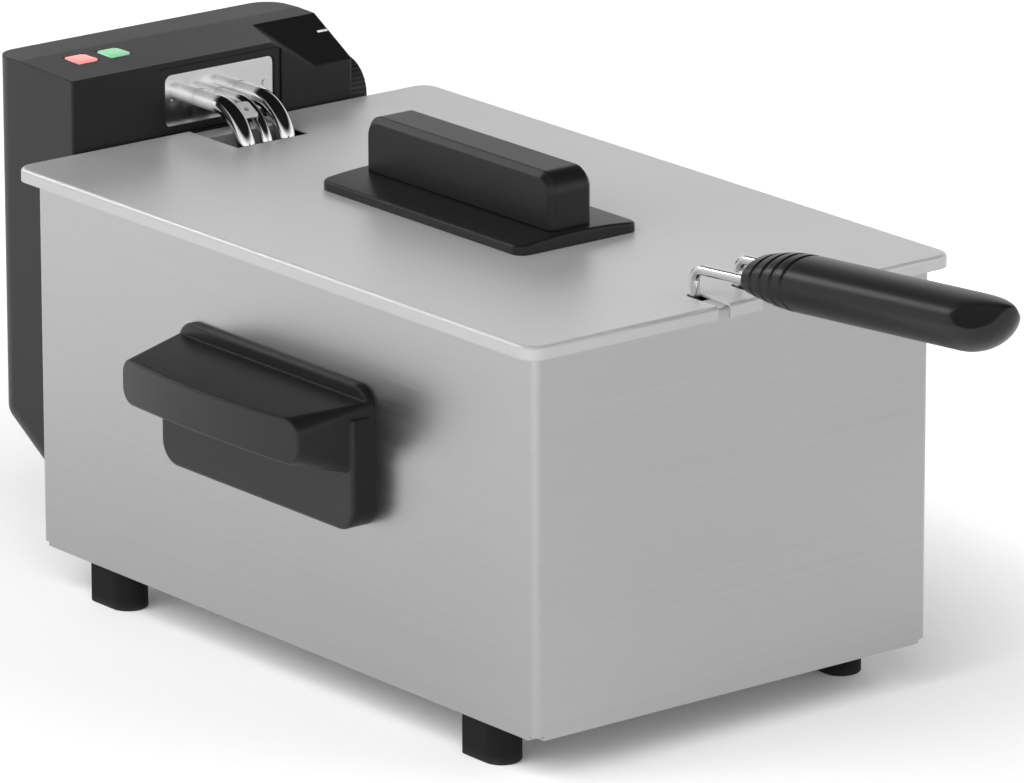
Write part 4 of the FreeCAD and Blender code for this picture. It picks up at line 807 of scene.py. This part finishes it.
def woven_panels(turn, *node_names):
    """Woven panels of one size with a border, made flat and then turned into the places of CAD panels."""
    low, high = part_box(node_names[0])
    lying = Euler(turn).to_matrix().inverted() @ (high - low)
    width = abs(lying.x)
    height = abs(lying.y)
    columns = round(width / MESH_PITCH)
    rows = round(height / MESH_PITCH)
    run = Vector((width / columns, 0, 0))
    step = Vector((0, height / rows, 0))
    sheets = [
        woven_wires(run, step, columns, rows, 1),
        woven_wires(step, run, rows, columns, -1),
    ]
    middle = Vector((width / 2, height / 2, 0))
    upright = rounded_tab("border", BORDER_WIDTH, height, BORDER_SHEET, BORDER_ROUND)
    level = rounded_tab("border", width, BORDER_WIDTH, BORDER_SHEET, BORDER_ROUND)
    aside = Vector(((width - BORDER_WIDTH) / 2, 0, 0))
    above = Vector((0, (height - BORDER_WIDTH) / 2, 0))
    for border, offset in ((upright, aside), (level, above)):
        for strip, side in zip(repeated(border, 2), (-1, 1)):
            settle(strip, middle + offset * side)
            sheets.append(strip)
    flat_panel = join(sheets, "panel")
    settle(flat_panel, -middle)
    for panel, node_name in zip(repeated(flat_panel, len(node_names)), node_names):
        low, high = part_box(node_name)
        panel.name = f"woven_{node_name}"
        settle(panel, (low + high) / 2, turn)
        finish_piece(panel, wire_steel, "basket", angle=60)
        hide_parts(node_name)


woven_panels(UNTURNED, "basket_net_bottom")
woven_panels((QUARTER_TURN, 0, 0), "basket_net_front", "basket_net_rear")
woven_panels((0, QUARTER_TURN, 0), "basket_net_left", "basket_net_right")

# Basket grip: an oval bar of black plastic moulded over the ends of the handle wires.
# It swells from a ringed collar at its rear to full width, and its tip turns up, with a scoop on each side.
grip_plastic = black_plastic("grip_plastic", dark=0.005, light=0.008, smoothest=0.2)
GRIP_LENGTH = 0.1363
GRIP_HALF_WIDTH = 0.014
GRIP_HALF_HEIGHT = 0.01075
GRIP_SIDES = 64
COLLAR_LENGTH = 0.022
COLLAR_WIDE = 0.93
COLLAR_TALL = 0.72
COLLAR_STEPS = 24
RINGS = 4
RING_START = 0.0045
RING_STEP = 0.006
RING_WIDTH = 0.0022
RING_SLOPE = RING_WIDTH / 5
RING_DEPTH = 0.0005
TIP_LENGTH = 0.022
TIP_LIFT = 0.8
TIP_STEPS = 20
TIP_LAST = math.radians(87)
SCOOP_SIZE = (0.0142, 0.0344, 0.0045)
SCOOP_PLACE = Vector((0.012, -0.1228, 0.0106))
SCOOP_LEAN = math.radians(61)
SCOOP_TURN = math.radians(23)
SCOOP_SIDES = 48


def collar_share(along, start):
    """How wide or tall the grip is at a distance from its rear end, as a share of its full size."""
    grown = math.sin(math.pi / 2 * min(along / COLLAR_LENGTH, 1))
    return start + (1 - start) * grown


def grip_rings():
    """Rings along the grip: distance from its rear end, half width, half height and lift."""
    stops = [(COLLAR_LENGTH * step / COLLAR_STEPS, 0) for step in range(COLLAR_STEPS + 1)]
    for ring in range(RINGS):
        start = RING_START + ring * RING_STEP
        end = start + RING_WIDTH
        stops = [stop for stop in stops if not start <= stop[0] <= end]
        stops += [(start, 0), (start + RING_SLOPE, RING_DEPTH), (end - RING_SLOPE, RING_DEPTH), (end, 0)]
    rings = []
    for along, sunk in sorted(stops):
        half_x = GRIP_HALF_WIDTH * collar_share(along, COLLAR_WIDE) - sunk
        half_z = GRIP_HALF_HEIGHT * collar_share(along, COLLAR_TALL) - sunk
        rings.append((along, half_x, half_z, 0))
    for step in range(TIP_STEPS + 1):
        angle = TIP_LAST * step / TIP_STEPS
        share = math.cos(angle)
        lift = TIP_LIFT * GRIP_HALF_HEIGHT * (1 - share)
        along = GRIP_LENGTH - TIP_LENGTH + TIP_LENGTH * math.sin(angle)
        rings.append((along, GRIP_HALF_WIDTH * share, GRIP_HALF_HEIGHT * share, lift))
    return rings


bpy.ops.object.select_all(action="DESELECT")
bpy.ops.mesh.primitive_circle_add(vertices=GRIP_SIDES, radius=GRIP_HALF_WIDTH, fill_type="NGON")
basket_grip = bpy.context.object
basket_grip.name = "ringed_grip"
settle(basket_grip, (0, 0, 0), (QUARTER_TURN, 0, 0))
edit(basket_grip)
last_along, last_x, last_z, last_lift = 0, GRIP_HALF_WIDTH, GRIP_HALF_WIDTH, 0
for along, half_x, half_z, lift in grip_rings():
    if along > last_along:
        push((0, last_along - along, lift - last_lift))
    bpy.ops.transform.resize(value=(half_x / last_x, 1, half_z / last_z), center_override=(0, -along, lift))
    last_along, last_x, last_z, last_lift = along, half_x, half_z, lift
close_outward()
for side in (-1, 1):
    bpy.ops.mesh.primitive_uv_sphere_add(
        segments=SCOOP_SIDES,
        ring_count=SCOOP_SIDES // 2,
        radius=1,
        location=(side * SCOOP_PLACE.x, SCOOP_PLACE.y, SCOOP_PLACE.z),
        rotation=(0, side * SCOOP_LEAN, -side * SCOOP_TURN),
        scale=SCOOP_SIZE,
    )
    sink(basket_grip, bpy.context.object)
grip_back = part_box("basket_grip")[1].y
axis_height = wire_end - HANDLE_SLOPE * (grip_back - wires_low.y)
settle(basket_grip, (0, grip_back, axis_height), (-math.atan(HANDLE_SLOPE), 0, 0))
finish_piece(basket_grip, grip_plastic, "basket", angle=20)
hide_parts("basket_grip")

# Lid: a shallow pan pressed from brushed steel, with slots for the handle wires and a notch for the tubes.
# It lies loose on the tank's rim, and its edge is turned down round the housing to keep it in place.
# The lid's bright top and its darker turned-down edge are lit and shaded tones of one sheet; the edge tone is
# painted shade.
LID_EDGE_SHADE = 0.46
lid_steel = brushed_steel(
    "lid_steel",
    grain=(1400, 5, 5),
    dark=0.77,
    light=0.87,
    smoothest=0.34,
    metallic=0.7,
    edge=(LID_EDGE_SHADE, lid_high.z),
)
dress(lid_steel, "lid_pan")

# Lid handle: a crowned plate and an upright grip of heat-proof black plastic in the middle of the lid.
# Screws driven from under the lid hold them.
dress(handle_plastic, "lid_handle_plate", "lid_handle_grip")
drive_screws("lid_handle_screws", "lid", lambda low: DOWN)

# Studio: a pale floor that glows like a light table away from the part, white walls and a dark ceiling, with
# three large soft lights and a small one behind on the left that glints along the edges.
# The camera is far off with a long lens, as in the photograph.
FLOOR_SIZE = 16
FLOOR_GLOW = 0.5
NEAR_GLOW = 0.06
WALL_GLOW = 0.88
FRONT_WALL_GLOW = 0.42
CEILING_DARKNESS = 0.99
REAR_WALL_RISE = 0.12
LIGHT_AIM = Vector((0.0, 0.0, 0.1))
LARGE_LIGHT = 1.5
SMALL_LIGHT = 0.5
CAMERA_BACK = 2.6083
CAMERA_PLACE = (-2.0541, lid_middle - CAMERA_BACK, 1.0992)
CAMERA_AIM = Vector((0.59556777, 0.74982308, -0.28820891))
CAMERA_ROLL = math.radians(-0.094)
FOCAL_LENGTH = 314.3
SENSOR_WIDTH = 36


def pale_floor():
    """Pale matt board that glows behind the part, to the right of it, and far off on every side; the glow to
    its right is painted light over the shadow that the left light casts there.
    """
    glow = {"Emission Strength": FLOOR_GLOW, "Specular IOR Level": 0.2}
    finish, shader, place = new_finish("pale_floor", glow)
    behind = place.part("Y").band(0.0, 1.0)
    # Painted light: the floor glows to the right of the part to fill the shadow cast by the left light.
    shadow_fill_beside = place.part("X").band(0.05, 0.3) * place.part("Y").band(-0.4, -0.05)
    away = place.node("ShaderNodeVectorMath", {"operation": "LENGTH"}, {0: place}, "Value").band(0.7, 1.5)
    far_off = 1 - (1 - behind) * (1 - shadow_fill_beside) * (1 - away)
    far_off.blend(grey(NEAR_GLOW), grey(1.0)).into(shader, "Emission Color")
    place.noise(3.0).blend(grey(0.86), grey(0.88)).into(shader, "Base Color")
    place.noise(40).between(0.75, 0.85).into(shader, "Roughness")
    return finish


def soft_light(name, place, size, power, glints=False):
    """A square light that faces the part; only one that glints is mirrored in the pieces."""
    bpy.ops.object.light_add(type="AREA", location=place)
    light = bpy.context.object
    light.name = name
    light.rotation_euler = (LIGHT_AIM - Vector(place)).to_track_quat("-Z", "Y").to_euler()
    light.data.size = size
    light.data.energy = power
    light.visible_glossy = glints


bpy.ops.object.select_all(action="DESELECT")
bpy.ops.mesh.primitive_plane_add(size=FLOOR_SIZE)
floor = bpy.context.object
floor.name = "floor"
floor.data.materials.append(pale_floor())

scene = bpy.context.scene
scene.view_settings.view_transform = "Standard"
world = bpy.data.worlds.new("studio")
scene.world = world
world.use_nodes = True
background = world.node_tree.nodes["Background"]
background.inputs["Color"].default_value = grey(1.0)
looking = Reading(world.node_tree).node("ShaderNodeTexCoord", output="Generated")
backward = looking.part("Y").band(0.0, 0.8)
overhead = (looking.part("Z") - backward * REAR_WALL_RISE).band(0.2, 0.55)
behind_camera = 1 - looking.part("Y").band(-0.7, 0.3)
wall_glow = behind_camera * FRONT_WALL_GLOW + WALL_GLOW
((1 - overhead * CEILING_DARKNESS) * wall_glow).into(background, "Strength")

soft_light("left_light", place=(-1.6, 0.1, 1.4), size=LARGE_LIGHT, power=35)
soft_light("front_light", place=(-1.2, -1.2, 1.4), size=LARGE_LIGHT, power=26)
soft_light("right_light", place=(1.0, -1.4, 1.4), size=LARGE_LIGHT, power=16)
soft_light("edge_light", place=(-0.7, 1.95, 1.5), size=SMALL_LIGHT, power=5, glints=True)

bpy.ops.object.camera_add(location=CAMERA_PLACE)
camera = bpy.context.object
facing = CAMERA_AIM.to_track_quat("-Z", "Y") @ Quaternion((0, 0, 1), CAMERA_ROLL)
camera.rotation_euler = facing.to_euler()
camera.data.lens = FOCAL_LENGTH
camera.data.sensor_width = SENSOR_WIDTH
scene.camera = camera
